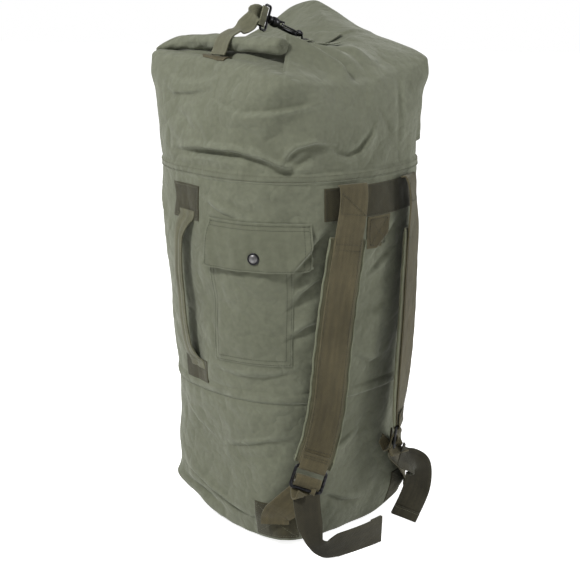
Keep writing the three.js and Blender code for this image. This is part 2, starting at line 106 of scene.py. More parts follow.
def add_light(name, place, aim, size, power):
    data = bpy.data.lights.new(name, "AREA")
    data.shape = "DISK"
    data.size = size
    data.energy = power
    light = bpy.data.objects.new(name, data)
    light.location = place
    light.rotation_euler = (Vector(aim) - Vector(place)).to_track_quat("-Z", "Y").to_euler()
    bpy.context.collection.objects.link(light)


def camera_only(tree, socket, others, seen_as):
    """A strength that the camera sees at one value, and that lights everything else at another."""
    path = tree.nodes.new("ShaderNodeLightPath")
    strength = tree.nodes.new("ShaderNodeMapRange")
    strength.inputs["To Min"].default_value = others
    strength.inputs["To Max"].default_value = seen_as
    tree.links.new(path.outputs["Is Camera Ray"], strength.inputs["Value"])
    tree.links.new(strength.outputs["Result"], socket)


def add_floor():
    shape = bmesh.new()
    bmesh.ops.create_grid(shape, x_segments=1, y_segments=1, size=8.0)
    mesh = bpy.data.meshes.new("floor")
    shape.to_mesh(mesh)
    shape.free()
    floor = bpy.data.objects.new("floor", mesh)
    floor.location.z = FLOOR_LEVEL
    bpy.context.collection.objects.link(floor)
    paint = bpy.data.materials.new("floor_paint")
    paint.use_nodes = True
    shader = paint.node_tree.nodes["Principled BSDF"]
    shader.inputs["Base Color"].default_value = (0.93, 0.93, 0.93, 1)
    shader.inputs["Roughness"].default_value = 0.8
    shader.inputs["Emission Color"].default_value = (1, 1, 1, 1)
    camera_only(paint.node_tree, shader.inputs["Emission Strength"], *FLOOR_GLOW)
    mesh.materials.append(paint)


add_camera()
add_floor()
world = bpy.data.worlds.new("studio")
world.use_nodes = True
surround = world.node_tree.nodes["Background"]
surround.inputs["Color"].default_value = (1, 1, 1, 1)
camera_only(world.node_tree, surround.inputs["Strength"], *WORLD_GLOW)
bpy.context.scene.world = world
bpy.context.scene.view_settings.view_transform = "Standard"
for light in LIGHTS:
    add_light(*light)
print("camera", [round(x, 3) for x in bpy.context.scene.camera.location])

# %% [markdown]
# ## The bag's form
# The bag is round at its middle and squarer at both ends, because its bottom is a square panel and its
# top is folded shut in four ears. A superellipse says both: its power is 2 for a circle and more for a
# square. The flat sides face STRAP_FACE and the three directions square to it.

# %% Sections of the bag
STRAP_FACE = 58.0
CLOSURE_FACE = -32.0
HANDLE_SIDE = -41.0
LOWER_SEAM = 0.205
UPPER_SEAM = 0.500
SECTION_HEIGHTS = [-0.05, 0, 0.045, 0.145, 0.205, 0.300, 0.400, 0.500, 0.570, 0.610, 0.640, 0.72]
SECTION_HALVES = [0.116, 0.116, 0.129, 0.138, 0.146, 0.157, 0.164, 0.163, 0.160, 0.149, 0.137, 0.137]
SECTION_POWERS = [14.0, 14.0, 5.0, 2.8, 2.5, 2.3, 2.25, 2.4, 2.9, 4.6, 14.0, 14.0]


def eased(values, reach=10):
    """The values smoothed along their table, so that no section shows as a corner."""
    weights = np.exp(-0.5 * (np.arange(-3 * reach, 3 * reach + 1) / reach) ** 2)
    return np.convolve(np.pad(values, 3 * reach, mode="edge"), weights / weights.sum(), "valid")


table_heights = np.arange(-0.05, 0.7201, 0.001)
table_halves = eased(np.interp(table_heights, SECTION_HEIGHTS, SECTION_HALVES))
table_powers = eased(np.interp(table_heights, SECTION_HEIGHTS, SECTION_POWERS))


def reach(angle, z):
    """Distance from the axis to the bag's surface, for angles in degrees from -Y towards +X."""
    half = np.interp(z, table_heights, table_halves)
    power = np.interp(z, table_heights, table_powers)
    turn = np.radians(np.asarray(angle) - STRAP_FACE)
    return half / (np.abs(np.cos(turn)) ** power + np.abs(np.sin(turn)) ** power) ** (1 / power)


for place, angle, z in (("middle", 0, 0.35), ("top corner", 13, 0.64)):
    print("reach at the", place, round(float(reach(angle, z)), 4))

# %% [markdown]
# ## Folds in the cloth
# A packed bag's canvas is pushed out by its load and pulled by its seams, so it carries long soft
# folds. Each fold here is a line on the wall, with a height and a width. A "fold" stands up on one side
# of its line and sinks on the other, as a real pleat does. A "ridge" and a "valley" are the same on both
# sides, and a "tent" has a sharp top. Broad seeded waves and small facets keep the wall from being
# perfect.

# %% Fold lines
FOLD_RADIUS = 0.155
MM_PER_DEGREE = math.pi / 180 * FOLD_RADIUS * 1000
FOLDS = [
    # kind, height (mm), width (mm), [(angle, height in mm), ...]
    ("valley", 2.2, 9, [(-52, 580), (-43, 568), (-35, 556), (-30, 552)]),
    ("fold", 3.2, 6.5, [(-46, 531), (-36, 534), (-27, 536), (-9, 537), (3.5, 530), (12, 522), (18, 518)]),
    ("fold", -1.8, 5, [(-40, 524), (-30, 527), (-20, 528), (-8, 526)]),
    ("ridge", 3.4, 5, [(-2, 543), (4, 535), (8.9, 526), (15.8, 518), (20, 515)]),
    ("valley", 2.4, 7, [(13, 515), (16, 519), (20.3, 530), (23, 538)]),
    ("fold", 3.4, 6, [(13, 528), (15, 538), (17.8, 545), (25.2, 550), (31, 548)]),
    ("fold", -3.2, 6.5, [(30, 550), (31.9, 546), (35.8, 534), (41, 529), (47.8, 534), (55.3, 554),
                         (57, 562)]),
    ("fold", 2.0, 8, [(82, 618), (80, 605), (78, 580), (76.7, 554), (76, 540)]),
    ("valley", 1.8, 9, [(60, 590), (66, 570), (70, 545)]),
    ("fold", 1.6, 9, [(-62, 610), (-55, 600), (-40, 604), (-28, 612)]),
    ("fold", -1.6, 10, [(-20, 590), (-5, 584), (10, 590), (24, 600)]),
    ("valley", 1.6, 8, [(-22, 483), (-15, 472), (-5, 462), (5, 458)]),
    ("fold", 1.5, 7, [(-26, 470), (-16, 458), (-6, 452)]),
    ("fold", 3.6, 7, [(16, 388), (20, 402), (26, 424), (31, 440)]),
    ("valley", 2.6, 6, [(17, 372), (22, 386), (28, 402)]),
    ("fold", 3.2, 7, [(16, 344), (20, 358), (26, 372), (31, 380)]),
    ("fold", 2.2, 8, [(16, 300), (22, 312), (29, 318)]),
    ("fold", 1.0, 12, [(-24, 246), (-12, 240), (4, 242), (16, 250)]),
    ("fold", 1.8, 8, [(54, 395), (60, 412), (68, 432), (74, 446)]),
    ("fold", -1.6, 8, [(55, 372), (62, 385), (69, 396)]),
    ("valley", 1.6, 9, [(52, 330), (60, 322), (68, 330)]),
    ("fold", 1.6, 10, [(50, 262), (60, 250), (70, 254)]),
    ("fold", 1.0, 14, [(-26, 128), (-10, 140), (6, 152), (18, 156)]),
    ("valley", 2.0, 11, [(-14, 118), (2, 124), (14, 130)]),
    ("fold", -1.2, 12, [(34, 120), (44, 136), (54, 150)]),
    ("fold", 1.0, 12, [(-56, 170), (-46, 150), (-34, 138)]),
    ("fold", 2.4, 9, [(-60, 70), (-40, 50), (-22, 38), (-8, 34)]),
    ("valley", 2.4, 10, [(-66, 44), (-48, 30), (-30, 22)]),
    ("fold", 2.0, 9, [(34, 70), (48, 52), (62, 44)]),
    ("fold", 2.0, 10, [(-70, 470), (-66, 440), (-64, 400)]),
    ("valley", 1.8, 9, [(-72, 330), (-66, 300), (-58, 280)]),
    ("fold", 2.2, 10, [(96, 560), (104, 530), (118, 520), (134, 530)]),
    ("valley", 2.0, 9, [(100, 470), (112, 455), (130, 450), (150, 458)]),
    ("fold", 2.4, 10, [(150, 590), (165, 565), (185, 560), (205, 575)]),
    ("fold", 2.2, 10, [(-150, 560), (-130, 540), (-110, 545), (-94, 560)]),
    ("fold", -2.0, 10, [(118, 380), (140, 365), (165, 370)]),
    ("valley", 2.0, 10, [(175, 440), (195, 425), (215, 430)]),
    ("fold", 2.0, 10, [(-140, 420), (-120, 405), (-100, 410)]),
    ("fold", 2.0, 10, [(110, 160), (135, 145), (160, 150)]),
    ("fold", -2.2, 10, [(175, 90), (200, 75), (225, 85)]),
    ("fold", 2.2, 10, [(-150, 250), (-130, 235), (-105, 240)]),
    ("valley", 2.0, 10, [(-120, 90), (-100, 75), (-84, 80)]),
    ("fold", 1.8, 10, [(180, 300), (200, 285), (222, 292)]),
]
# The wall's folds stand this many times higher than the table says.
FOLD_STRENGTH = 2.9


def hump(distance, width, power=2):
    """1 on a line, falling smoothly to nothing at about twice the width."""
    return np.exp(-np.abs(distance / width) ** power)


def smooth_step(share):
    return share * share * (3 - 2 * share)


def fold_height(plan_x, plan_y, kind, height, width, points):
    """The height of one fold over a flat plan, from the nearest place on its line."""
    line = np.array(points, float)
    place = np.stack([plan_x, plan_y], -1)
    best = np.full(plan_x.shape, 1e9)
    side = np.zeros(plan_x.shape)
    where = np.zeros(plan_x.shape)
    lengths = np.linalg.norm(np.diff(line, axis=0), axis=1)
    starts = np.concatenate([[0], np.cumsum(lengths)])
    for i, (a, b) in enumerate(zip(line[:-1], line[1:])):
        run = b - a
        t = np.clip(((place - a) @ run) / (run @ run), 0, 1)
        gap = place - (a + t[..., None] * run)
        distance = np.hypot(gap[..., 0], gap[..., 1])
        nearer = distance < best
        best = np.where(nearer, distance, best)
        side = np.where(nearer, np.sign(run[0] * gap[..., 1] - run[1] * gap[..., 0]), side)
        where = np.where(nearer, (starts[i] + t * lengths[i]) / starts[-1], where)
    taper = np.sin(np.pi * np.clip(where * 0.94 + 0.03, 0, 1)) ** 0.7
    d = best / width
    if kind == "fold":
        shape = side * np.tanh(best / 2.6) * np.exp(-d) * 1.15
    elif kind == "tent":
        shape = np.exp(-np.sqrt(d * d + 0.01))
    elif kind == "ridge":
        shape = hump(d, 1, 1.5) - 0.35 * hump(d, 2.4)
    else:
        shape = 0.4 * hump(d, 2.4) - hump(d, 1, 1.5)
    return height * taper * shape


def waves(points, seed, count, shortest, longest, height):
    """Smooth seeded waves over points in space: long ones are high, short ones are low."""
    draw = np.random.default_rng(seed)
    total = np.zeros(len(points))
    for _ in range(count):
        length = shortest * (longest / shortest) ** draw.random()
        direction = draw.normal(size=3)
        direction /= np.linalg.norm(direction)
        phase = draw.random() * 2 * np.pi
        total += np.sin(points @ direction * 2 * np.pi / length + phase) * (length / longest)
    return height * total / math.sqrt(count)


def creased(points, seed, size, height):
    """Small flat facets with thin ridges between them, as handled canvas gets."""
    bent = points + 0.35 * size * np.stack(
        [waves(points, seed + k, 6, size, 3 * size, 1.0) for k in range(3)], -1)
    total = np.zeros(len(points))
    draw = np.random.default_rng(seed)
    for _ in range(4):
        direction = draw.normal(size=3)
        direction /= np.linalg.norm(direction)
        total += np.abs(np.sin(bent @ direction * np.pi / size + draw.random() * 6))
    return height * (total / 4 - 0.64)


STRAP_TRACK_Z = [0, 0.124, 0.204, 0.275, 0.352, 0.428, 0.470, 0.502, 0.56]
LEFT_TRACK = [14, 24.6, 31.5, 33.5, 36, 39.5, 41.5, 42, 42]
RIGHT_TRACK = [96, 76, 73.8, 75, 76.5, 77.5, 78, 78, 78]
HANDLE_MIDDLE, HANDLE_HALF = 0.343, 0.105
BUCKLE_DENT = 0.098
BACK_ANGLE = 164


def unrolled(angle):
    """The same angle between -164 and 196 degrees, so that the wall's flat plan is cut at the back."""
    return (angle + BACK_ANGLE) % 360 - BACK_ANGLE


def relief(angle, z):
    """How far the folds stand out of the bag's plain form, in metres."""
    angle, z = np.broadcast_arrays(unrolled(np.asarray(angle, float)), np.asarray(z, float))
    as_given = angle.shape
    angle, z = angle.ravel(), z.ravel()
    total = np.zeros(z.shape)
    for kind, height, width, points in FOLDS:
        line = [(unrolled(a), h) for a, h in points]
        if max(a for a, _ in line) - min(a for a, _ in line) > 180:
            line = [(a + 360 if a < 0 else a, h) for a, h in line]
        line = [(a * MM_PER_DEGREE, h) for a, h in line]
        total += fold_height(angle * MM_PER_DEGREE, z * 1000, kind, FOLD_STRENGTH * height, width, line)
    turn = np.radians(angle)
    spots = np.stack([FOLD_RADIUS * np.sin(turn), -FOLD_RADIUS * np.cos(turn), z], -1)
    total += waves(spots, 7, 26, 0.06, 0.30, 2.4)
    total += creased(spots, 21, 0.085, 6.0) + creased(spots, 33, 0.034, 1.8)
    # The straps and the handle need a calm strip under them.
    near_left = np.abs(angle - np.interp(z, STRAP_TRACK_Z, LEFT_TRACK))
    near_right = np.abs(angle - np.interp(z, STRAP_TRACK_Z, RIGHT_TRACK))
    past_handle = np.clip(np.abs(z - HANDLE_MIDDLE) - HANDLE_HALF, 0, 1)
    near_handle = np.abs(angle - HANDLE_SIDE) + 200 * past_handle
    calm = np.maximum(hump(near_left, 11, 4), hump(near_right, 11, 4))
    calm = np.maximum(calm, 0.9 * hump(near_handle, 10, 4))
    total = np.where(total > 0, total * (1 - 0.8 * calm), total)
    # The cloth gives way a little behind the handle and behind the left buckle.
    total -= 2.4 * hump(near_handle, 9)
    total -= 3.0 * hump(near_left, 8) * hump(z - BUCKLE_DENT, 0.032)
    # A seam holds the cloth flatter.
    seams = hump(z - LOWER_SEAM, 0.007) + hump(z - UPPER_SEAM, 0.007)
    return (total * (1 - 0.55 * np.clip(seams, 0, 1)) / 1000).reshape(as_given)


def seam_step(z):
    """A felled seam: the upper panel laps over the lower one in a band with two rows of stitches."""
    z = np.asarray(z, float)
    total = np.zeros(z.shape)
    for seam in (LOWER_SEAM, UPPER_SEAM):
        inside = (z >= seam - 0.0002) & (z <= seam + 0.011)
        total += np.where(inside, 0.0011, 0) + 0.0006 * hump(z - seam - 0.0055, 0.006)
        total -= 0.0009 * hump(z - seam + 0.002, 0.003)
        total -= 0.0007 * hump(z - seam - 0.013, 0.0025)
    return total


# The bottom's four corners: angle, height drawn up off the floor in metres, width in degrees.
CORNERS = ((13, 0.008, 12), (103, 0.024, 13), (193, 0.024, 16), (-77, 0.036, 23))


def away_from(angle, other):
    """Degrees from one angle to another, the short way round."""
    return (np.asarray(angle, float) - other + 180) % 360 - 180


def corner_lift(angle, z):
    """The bottom's four corners are drawn up off the floor."""
    total = sum(height * hump(away_from(angle, corner), width, 1.4) for corner, height, width in CORNERS)
    return total * np.clip(1 - np.asarray(z, float) / 0.075, 0, 1) ** 1.5


def round_axis(radius, angle, z):
    """Points at a distance from the axis, at an angle and a height."""
    turn = np.radians(np.asarray(angle, float))
    return np.stack(np.broadcast_arrays(radius * np.sin(turn), -radius * np.cos(turn), z), -1)


def skin(angle, z, lift=0.0, seams=True):
    """Points on the cloth, folds included, standing out by lift."""
    angle = np.asarray(angle, float)
    z = np.asarray(z, float)
    radius = reach(angle, z) + relief(angle, z) + lift + (seam_step(z) if seams else 0)
    return round_axis(radius, angle, z + corner_lift(angle, z))


def plain(angle, z, out=0.0):
    """Points that stand out from the bag's plain form, where the model has them."""
    return round_axis(reach(angle, z) + out, angle, z)


sample = relief(np.linspace(-60, 90, 60), np.full(60, 0.35))
print("folds stand", round(float(sample.min() * 1000), 1), "to", round(float(sample.max() * 1000), 1), "mm")

# %% [markdown]
# ## Cloth, webbing and metal finishes
# Canvas is a plain weave: threads in two directions, one over the other. Two wave textures on the
# piece's own UV map, which is laid out in metres, give the threads, and a bump node turns them into
# relief. Over that come a slow change of colour, a fine mottle, and a paler tone along the folds,
# edges and seams: partly wear, and partly a painted highlight on the canvas's fold ridges, its rim and
# the ear's lip. Webbing is a heavier rib, with its own slant.

# %% Material helpers
FINISHES = {}


def new_finish(name, roughness, metallic=0.0):
    paint = bpy.data.materials.new(name)
    paint.use_nodes = True
    nodes, links = paint.node_tree.nodes, paint.node_tree.links
    shader = nodes["Principled BSDF"]
    shader.inputs["Roughness"].default_value = roughness
    shader.inputs["Metallic"].default_value = metallic
    FINISHES[name] = paint
    return nodes, links, shader


def noise(nodes, links, coordinates, scale, detail=3.0):
    node = nodes.new("ShaderNodeTexNoise")
    node.inputs["Scale"].default_value = scale
    node.inputs["Detail"].default_value = detail
    links.new(coordinates, node.inputs["Vector"])
    return node.outputs["Fac"]


def ramp(nodes, links, value, stops):
    node = nodes.new("ShaderNodeValToRGB")
    while len(node.color_ramp.elements) < len(stops):
        node.color_ramp.elements.new(0.5)
    for element, (position, colour) in zip(node.color_ramp.elements, stops):
        element.position = position
        element.color = (*colour, 1)
    links.new(value, node.inputs["Fac"])
    return node.outputs["Color"]


def mixed(nodes, links, share, a, b, way="MIX"):
    """Colour a changed to colour b by a share; a share or colour may be a socket or a plain value."""
    node = nodes.new("ShaderNodeMix")
    node.data_type = "RGBA"
    node.blend_type = way
    for socket, value in ((node.inputs[0], share), (node.inputs[6], a), (node.inputs[7], b)):
        if isinstance(value, bpy.types.NodeSocket):
            links.new(value, socket)
        else:
            socket.default_value = value if isinstance(value, float) else (*value, 1)
    return node.outputs[2]


def threads(nodes, links, coordinates, pitch, direction, turn=0.0):
    """A row of threads: a sine band with this pitch in metres, along one direction of the UV map."""
    mapping = nodes.new("ShaderNodeMapping")
    mapping.inputs["Rotation"].default_value = (0, 0, turn)
    links.new(coordinates, mapping.inputs["Vector"])
    node = nodes.new("ShaderNodeTexWave")
    node.bands_direction = direction
    node.inputs["Scale"].default_value = 2 * math.pi / (20 * pitch)
    links.new(mapping.outputs["Vector"], node.inputs["Vector"])
    return node.outputs["Fac"]


def combined(nodes, links, operation, a, b):
    node = nodes.new("ShaderNodeMath")
    node.operation = operation
    for socket, value in zip(node.inputs, (a, b)):
        if isinstance(value, bpy.types.NodeSocket):
            links.new(value, socket)
        else:
            socket.default_value = value
    return node.outputs[0]


def bumped(nodes, links, shader, heights):
    """Bump nodes in a row: each height has its own strength and distance."""
    normal = None
    for height, strength, distance in heights:
        node = nodes.new("ShaderNodeBump")
        node.inputs["Strength"].default_value = strength
        node.inputs["Distance"].default_value = distance
        links.new(height, node.inputs["Height"])
        if normal:
            links.new(normal, node.inputs["Normal"])
        normal = node.outputs["Normal"]
    links.new(normal, shader.inputs["Normal"])


def woven(name, dark, light, pitch, slant=0.0, worn=(0.30, 0.31, 0.24), rough=0.86, bump=0.5, wear=0.5,
          crush=0.25):
    """A woven finish: two colours of cloth, its thread pitch in metres and the slant of its rib."""
    nodes, links, shader = new_finish(name, rough)
    place = nodes.new("ShaderNodeTexCoord")
    uv, solid = place.outputs["UV"], place.outputs["Object"]
    warp = threads(nodes, links, uv, pitch, "X", slant)
    weft = threads(nodes, links, uv, pitch, "Y", slant)
    weave = combined(nodes, links, "MAXIMUM", warp, weft)
    slow = noise(nodes, links, solid, 9.0, 4.0)
    mottle = noise(nodes, links, solid, 160.0, 5.0)
    base = ramp(nodes, links, slow, [(0.32, dark), (0.68, light)])
    speck = ramp(nodes, links, mottle, [(0.3, (0.84, 0.84, 0.84)), (0.72, (1.10, 1.10, 1.08))])
    colour = mixed(nodes, links, 0.6, base, speck, "MULTIPLY")
    gaps = ramp(nodes, links, weave, [(0.25, (0.72, 0.72, 0.70)), (0.75, (1.06, 1.06, 1.06))])
    colour = mixed(nodes, links, 0.55, colour, gaps, "MULTIPLY")
    if slant:
        stretched = nodes.new("ShaderNodeMapping")
        stretched.inputs["Scale"].default_value = (1, 0.09, 1)
        links.new(uv, stretched.inputs["Vector"])
        streaks = ramp(nodes, links, noise(nodes, links, stretched.outputs["Vector"], 190.0, 4.0),
                       [(0.38, (0.78, 0.77, 0.76)), (0.64, (1.30, 1.28, 1.24))])
        colour = mixed(nodes, links, 0.5, colour, streaks, "MULTIPLY")
    # A pale colour mixed in by the mesh's attribute: wear at edges and seams, and on the canvas also a painted
    # highlight along the fold ridges, the rim and the ear's lip.
    wear_and_highlight_node = nodes.new("ShaderNodeAttribute")
    wear_and_highlight_node.attribute_name = "worn"
    share = combined(nodes, links, "MULTIPLY", wear_and_highlight_node.outputs["Fac"], mottle)
    share = combined(nodes, links, "MULTIPLY", share, wear)
    colour = mixed(nodes, links, share, colour, worn)
    links.new(colour, shader.inputs["Base Color"])
    shader.inputs["Sheen Weight"].default_value = 0.25
    shader.inputs["Sheen Roughness"].default_value = 0.5
    shader.inputs["Sheen Tint"].default_value = (0.85, 0.87, 0.78, 1)
    shader.inputs["Specular IOR Level"].default_value = 0.25
    soft = noise(nodes, links, solid, 30.0, 2.0)
    # Fine creases: where a slow noise crosses its middle there is a thin ridge.
    creases = []
    for scale in (13.0, 34.0):
        crossing = combined(nodes, links, "SUBTRACT", noise(nodes, links, solid, scale, 2.0), 0.5)
        creases.append(combined(nodes, links, "ABSOLUTE", crossing, 0.0))
    bumped(nodes, links, shader, [(creases[0], crush, 0.016), (creases[1], crush, 0.006),
                                  (soft, 0.18, 0.0015), (weave, bump, 0.00025)])


def metal(name, dark, light, rough, polish=0.9):
    """A metal finish with fine scratches and a rubbed tone."""
    nodes, links, shader = new_finish(name, rough, polish)
    place = nodes.new("ShaderNodeTexCoord").outputs["Object"]
    pale_share = noise(nodes, links, place, 220.0, 6.0)
    links.new(ramp(nodes, links, pale_share, [(0.42, dark), (0.72, light)]), shader.inputs["Base Color"])
    shine = ramp(nodes, links, pale_share, [(0.3, (rough + 0.12,) * 3), (0.75, (rough - 0.1,) * 3)])
    links.new(shine, shader.inputs["Roughness"])
    shader.inputs["Coat Weight"].default_value = 0.25
    shader.inputs["Coat Roughness"].default_value = 0.3
    bumped(nodes, links, shader, [(noise(nodes, links, place, 900.0, 2.0), 0.2, 0.0002)])


# %% The finishes
RIB, RIB_SLANT = 0.0020, 0.62
# The canvas's pale colour serves both for wear and for the painted highlight on its fold ridges, rim and lip.
woven("canvas", (0.124, 0.131, 0.090), (0.145, 0.153, 0.108), 0.0011, worn=(0.215, 0.23, 0.17), crush=0.9)
woven("flap_canvas", (0.113, 0.119, 0.081), (0.132, 0.139, 0.097), 0.0011, worn=(0.205, 0.22, 0.16),
      crush=0.5)
woven("pad_canvas", (0.062, 0.056, 0.028), (0.100, 0.092, 0.052), 0.0011, worn=(0.20, 0.21, 0.14), wear=0.6)
woven("piping_cloth", (0.115, 0.122, 0.078), (0.18, 0.19, 0.125), 0.0009, worn=(0.24, 0.25, 0.18))
woven("webbing", (0.046, 0.038, 0.017), (0.088, 0.074, 0.038), RIB, RIB_SLANT, (0.19, 0.17, 0.10), 0.8, 0.9)
woven("grip_webbing", (0.085, 0.083, 0.050), (0.130, 0.130, 0.085), RIB, RIB_SLANT, (0.24, 0.24, 0.16),
      0.8, 0.9)
woven("dark_webbing", (0.023, 0.0205, 0.0095), (0.046, 0.041, 0.020), RIB, RIB_SLANT, (0.085, 0.078, 0.045),
      0.82, 0.9)
woven("tail_webbing", (0.012, 0.0105, 0.0055), (0.034, 0.030, 0.017), RIB, RIB_SLANT, (0.08, 0.075, 0.045),
      0.82, 0.9)
woven("thread", (0.10, 0.10, 0.065), (0.15, 0.15, 0.10), 0.0006, worn=(0.2, 0.2, 0.15))
woven("dark_thread", (0.018, 0.017, 0.010), (0.036, 0.034, 0.020), 0.0006, worn=(0.1, 0.1, 0.07))
metal("black_metal", (0.010, 0.010, 0.011), (0.050, 0.050, 0.054), 0.34)
metal("grey_metal", (0.13, 0.125, 0.125), (0.24, 0.235, 0.235), 0.42)
print(len(FINISHES), "finishes:", ", ".join(FINISHES))

# %% [markdown]
# ## Two ways to make a sewn piece
# Every flat piece starts as a grid, which is bent into place row by row. Straps follow a path: each
# station has a place and the direction of the strap's width, and a smooth curve runs through them.
# A grid that goes all round is welded where its two ends meet.

# %% Shaping helpers
def finished(name, shape, finish, body, replaced=()):
    """The bmesh becomes an object at the origin, with smooth faces, on its body."""
    mesh = bpy.data.meshes.new(name)
    shape.to_mesh(mesh)
    shape.free()
    mesh.materials.append(FINISHES[finish])
    for face in mesh.polygons:
        face.use_smooth = True
    piece = bpy.data.objects.new(name, mesh)
    bpy.context.collection.objects.link(piece)
    if replaced:
        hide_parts(*replaced)
    if body:
        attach(piece, body)
    return piece


def grid_shape(columns, rows, place, size, ring=False, wear=None):
    """A grid bent by place(u, v), with u and v from 0 to 1, and a UV map in metres."""
    shape = bmesh.new()
    uv = shape.loops.layers.uv.new("cloth")
    worn = shape.verts.layers.float.new("worn")
    bmesh.ops.create_grid(shape, x_segments=columns, y_segments=rows, size=0.5)
    flat = np.array([vertex.co[:2] for vertex in shape.verts]) + 0.5
    for face in shape.faces:
        for loop in face.loops:
            x, y = loop.vert.co[:2]
            loop[uv].uv = ((x + 0.5) * size[0], (y + 0.5) * size[1])
    bent = place(flat[:, 0], flat[:, 1])
    # Share of pale tone at each vertex: wear, and on the body panels also a painted highlight on the fold
    # ridges.
    pale_share = np.zeros(len(flat)) if wear is None else wear(flat[:, 0], flat[:, 1])
    for vertex, point, share in zip(shape.verts, bent, pale_share):
        vertex.co = point
        vertex[worn] = share
    if ring:
        bmesh.ops.remove_doubles(shape, verts=shape.verts, dist=1e-6)
    return shape


def thicken(piece, thickness, offset=-1.0, round_edges=0.0):
    """Cloth thickness, and softened edges, applied to the mesh."""
    solid = piece.modifiers.new("thickness", "SOLIDIFY")
    solid.thickness = thickness
    solid.offset = offset
    if round_edges:
        edge = piece.modifiers.new("edge", "BEVEL")
        edge.width = round_edges
        edge.segments = 2
        edge.limit_method = "ANGLE"
        edge.angle_limit = math.radians(50)
    return settle(piece)


def settle(piece):
    """Applies the piece's modifiers."""
    bpy.context.view_layer.update()
    graph = bpy.context.evaluated_depsgraph_get()
    whole = piece.evaluated_get(graph)
    mesh = bpy.data.meshes.new_from_object(whole, preserve_all_data_layers=True, depsgraph=graph)
    old = piece.data
    piece.modifiers.clear()
    piece.data = mesh
    bpy.data.meshes.remove(old)
    mesh.name = piece.name
    return piece


def sewn(name, shape, finish, slot, replaced, body, thickness, **edges):
    """A sheet given its cloth's thickness, on its body; a piece without a body stays unattached."""
    piece = finished(name, shape, finish, None, replaced)
    thicken(piece, thickness, **edges)
    if body:
        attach(piece, body)
    return piece


def distances(points):
    """The distance covered at each point of a line."""
    return np.concatenate([[0], np.cumsum(np.linalg.norm(np.diff(points, axis=0), axis=1))])


def places_at(along, run, points):
    """A line's places at these distances, where run says the distance at each of its points."""
    return np.stack([np.interp(along, run, points[:, k]) for k in range(points.shape[1])], -1)


def between(t, start, end, a, b):
    return (end - t) / (end - start) * a + (t - start) / (end - start) * b


def along_path(points, count):
    """A smooth curve through points, as evenly spaced places (centripetal Catmull-Rom)."""
    points = np.asarray(points, float)
    ends = [2 * points[0] - points[1], *points, 2 * points[-1] - points[-2]]
    dense = []
    for p0, p1, p2, p3 in zip(ends, ends[1:], ends[2:], ends[3:]):
        knots = [0.0]
        for a, b in ((p0, p1), (p1, p2), (p2, p3)):
            knots.append(knots[-1] + max(np.linalg.norm(b[:3] - a[:3]), 1e-6) ** 0.5)
        t0, t1, t2, t3 = knots
        for t in np.linspace(t1, t2, 24, endpoint=False):
            a1 = between(t, t0, t1, p0, p1)
            a2 = between(t, t1, t2, p1, p2)
            a3 = between(t, t2, t3, p2, p3)
            b1 = between(t, t0, t2, a1, a2)
            b2 = between(t, t1, t3, a2, a3)
            dense.append(between(t, t1, t2, b1, b2))
    dense = np.array([*dense, points[-1]])
    run = distances(dense[:, :3])
    return places_at(np.linspace(0, run[-1], count), run, dense), run[-1]


def unit(v):
    return v / np.maximum(np.linalg.norm(v, axis=-1, keepdims=True), 1e-9)


def strap_frame(stations, count):
    """Places, width directions and face directions along a strap."""
    path, length = along_path([[*at, *across] for at, across in stations], count)
    at, across = path[:, :3], path[:, 3:]
    tangent = unit(np.gradient(at, axis=0))
    across = unit(across - (across * tangent).sum(-1, keepdims=True) * tangent)
    return at, across, np.cross(tangent, across), length


def strap_shape(stations, width, count=60, columns=8, crown=0.0, ripple=0.0, seed=1, wear=0.0, pleat=0.0):
    """A strap's middle surface; width may be a function of the share along it."""
    at, across, face, length = strap_frame(stations, count + 1)
    widest = width(0.5) if callable(width) else width

    def place(u, v):
        row = np.rint(v * count).astype(int)
        side = 2 * u - 1
        wide = np.array([width(x) for x in v]) if callable(width) else width
        spots = at[row] + across[row] * (side * wide / 2)[:, None]
        bow = crown * (1 - side ** 2) - pleat * hump(side, 0.28) + pleat * 0.4
        if ripple:
            bow = bow + waves(spots, seed, 10, 0.02, 0.09, ripple)
        return spots + face[row] * np.asarray(bow).reshape(-1, 1)

    def edges(u, v):
        return wear * np.clip(np.abs(2 * u - 1) * 3 - 2, 0, 1)

    return grid_shape(columns, count, place, (widest, length), wear=edges), length


def strap_piece(name, stations, width, thickness, finish, body, slot, replaced=(), **more):
    shape, length = strap_shape(stations, width, **more)
    print(name, "is", round(length * 1000), "mm long")
    return sewn(name, shape, finish, slot, replaced, body, thickness, offset=0.0, round_edges=thickness * 0.3)


def round_bar(path, across, up, row, turn, thick, flat=1.0):
    """Points round a path, in the two directions square to it."""
    aside = across[row] * (np.cos(turn) * thick)[:, None]
    return path[row] + aside + up[row] * (np.sin(turn) * thick * flat)[:, None]


def rod_shape(points, radius, sides=12, count=48, flat=1.0):
    """A round bar along a path. Its two ends are domed."""
    path, length = along_path(points, count + 1)
    tangent = unit(np.gradient(path, axis=0))
    side = np.cross(tangent[0], [0.3, 0.5, 0.81])
    sides_along = []
    for t in tangent:
        side = side - np.dot(side, t) * t
        side = side / np.linalg.norm(side)
        sides_along.append(side)
    across = np.array(sides_along)
    up = np.cross(tangent, across)

    def place(u, v):
        row = np.rint(v * count).astype(int)
        dome = np.interp(np.minimum(row, count - row), [0, 1, 2], [0.45, 0.85, 1])
        return round_bar(path, across, up, row, u * 2 * np.pi, radius * dome, flat)

    shape = grid_shape(sides, count, place, (radius * 6, length), ring=True)
    bmesh.ops.holes_fill(shape, edges=shape.edges, sides=sides)
    bmesh.ops.recalc_face_normals(shape, faces=shape.faces)
    return shape


def pour(part, whole):
    """Adds one bmesh to another, and frees it."""
    mesh = bpy.data.meshes.new("part")
    part.to_mesh(mesh)
    part.free()
    whole.from_mesh(mesh)
    bpy.data.meshes.remove(mesh)


# A stitch's pitch, its half width and its half height, in metres.
STITCH, BEAD_WIDE, BEAD_HIGH = 0.0034, 0.00038, 0.00034


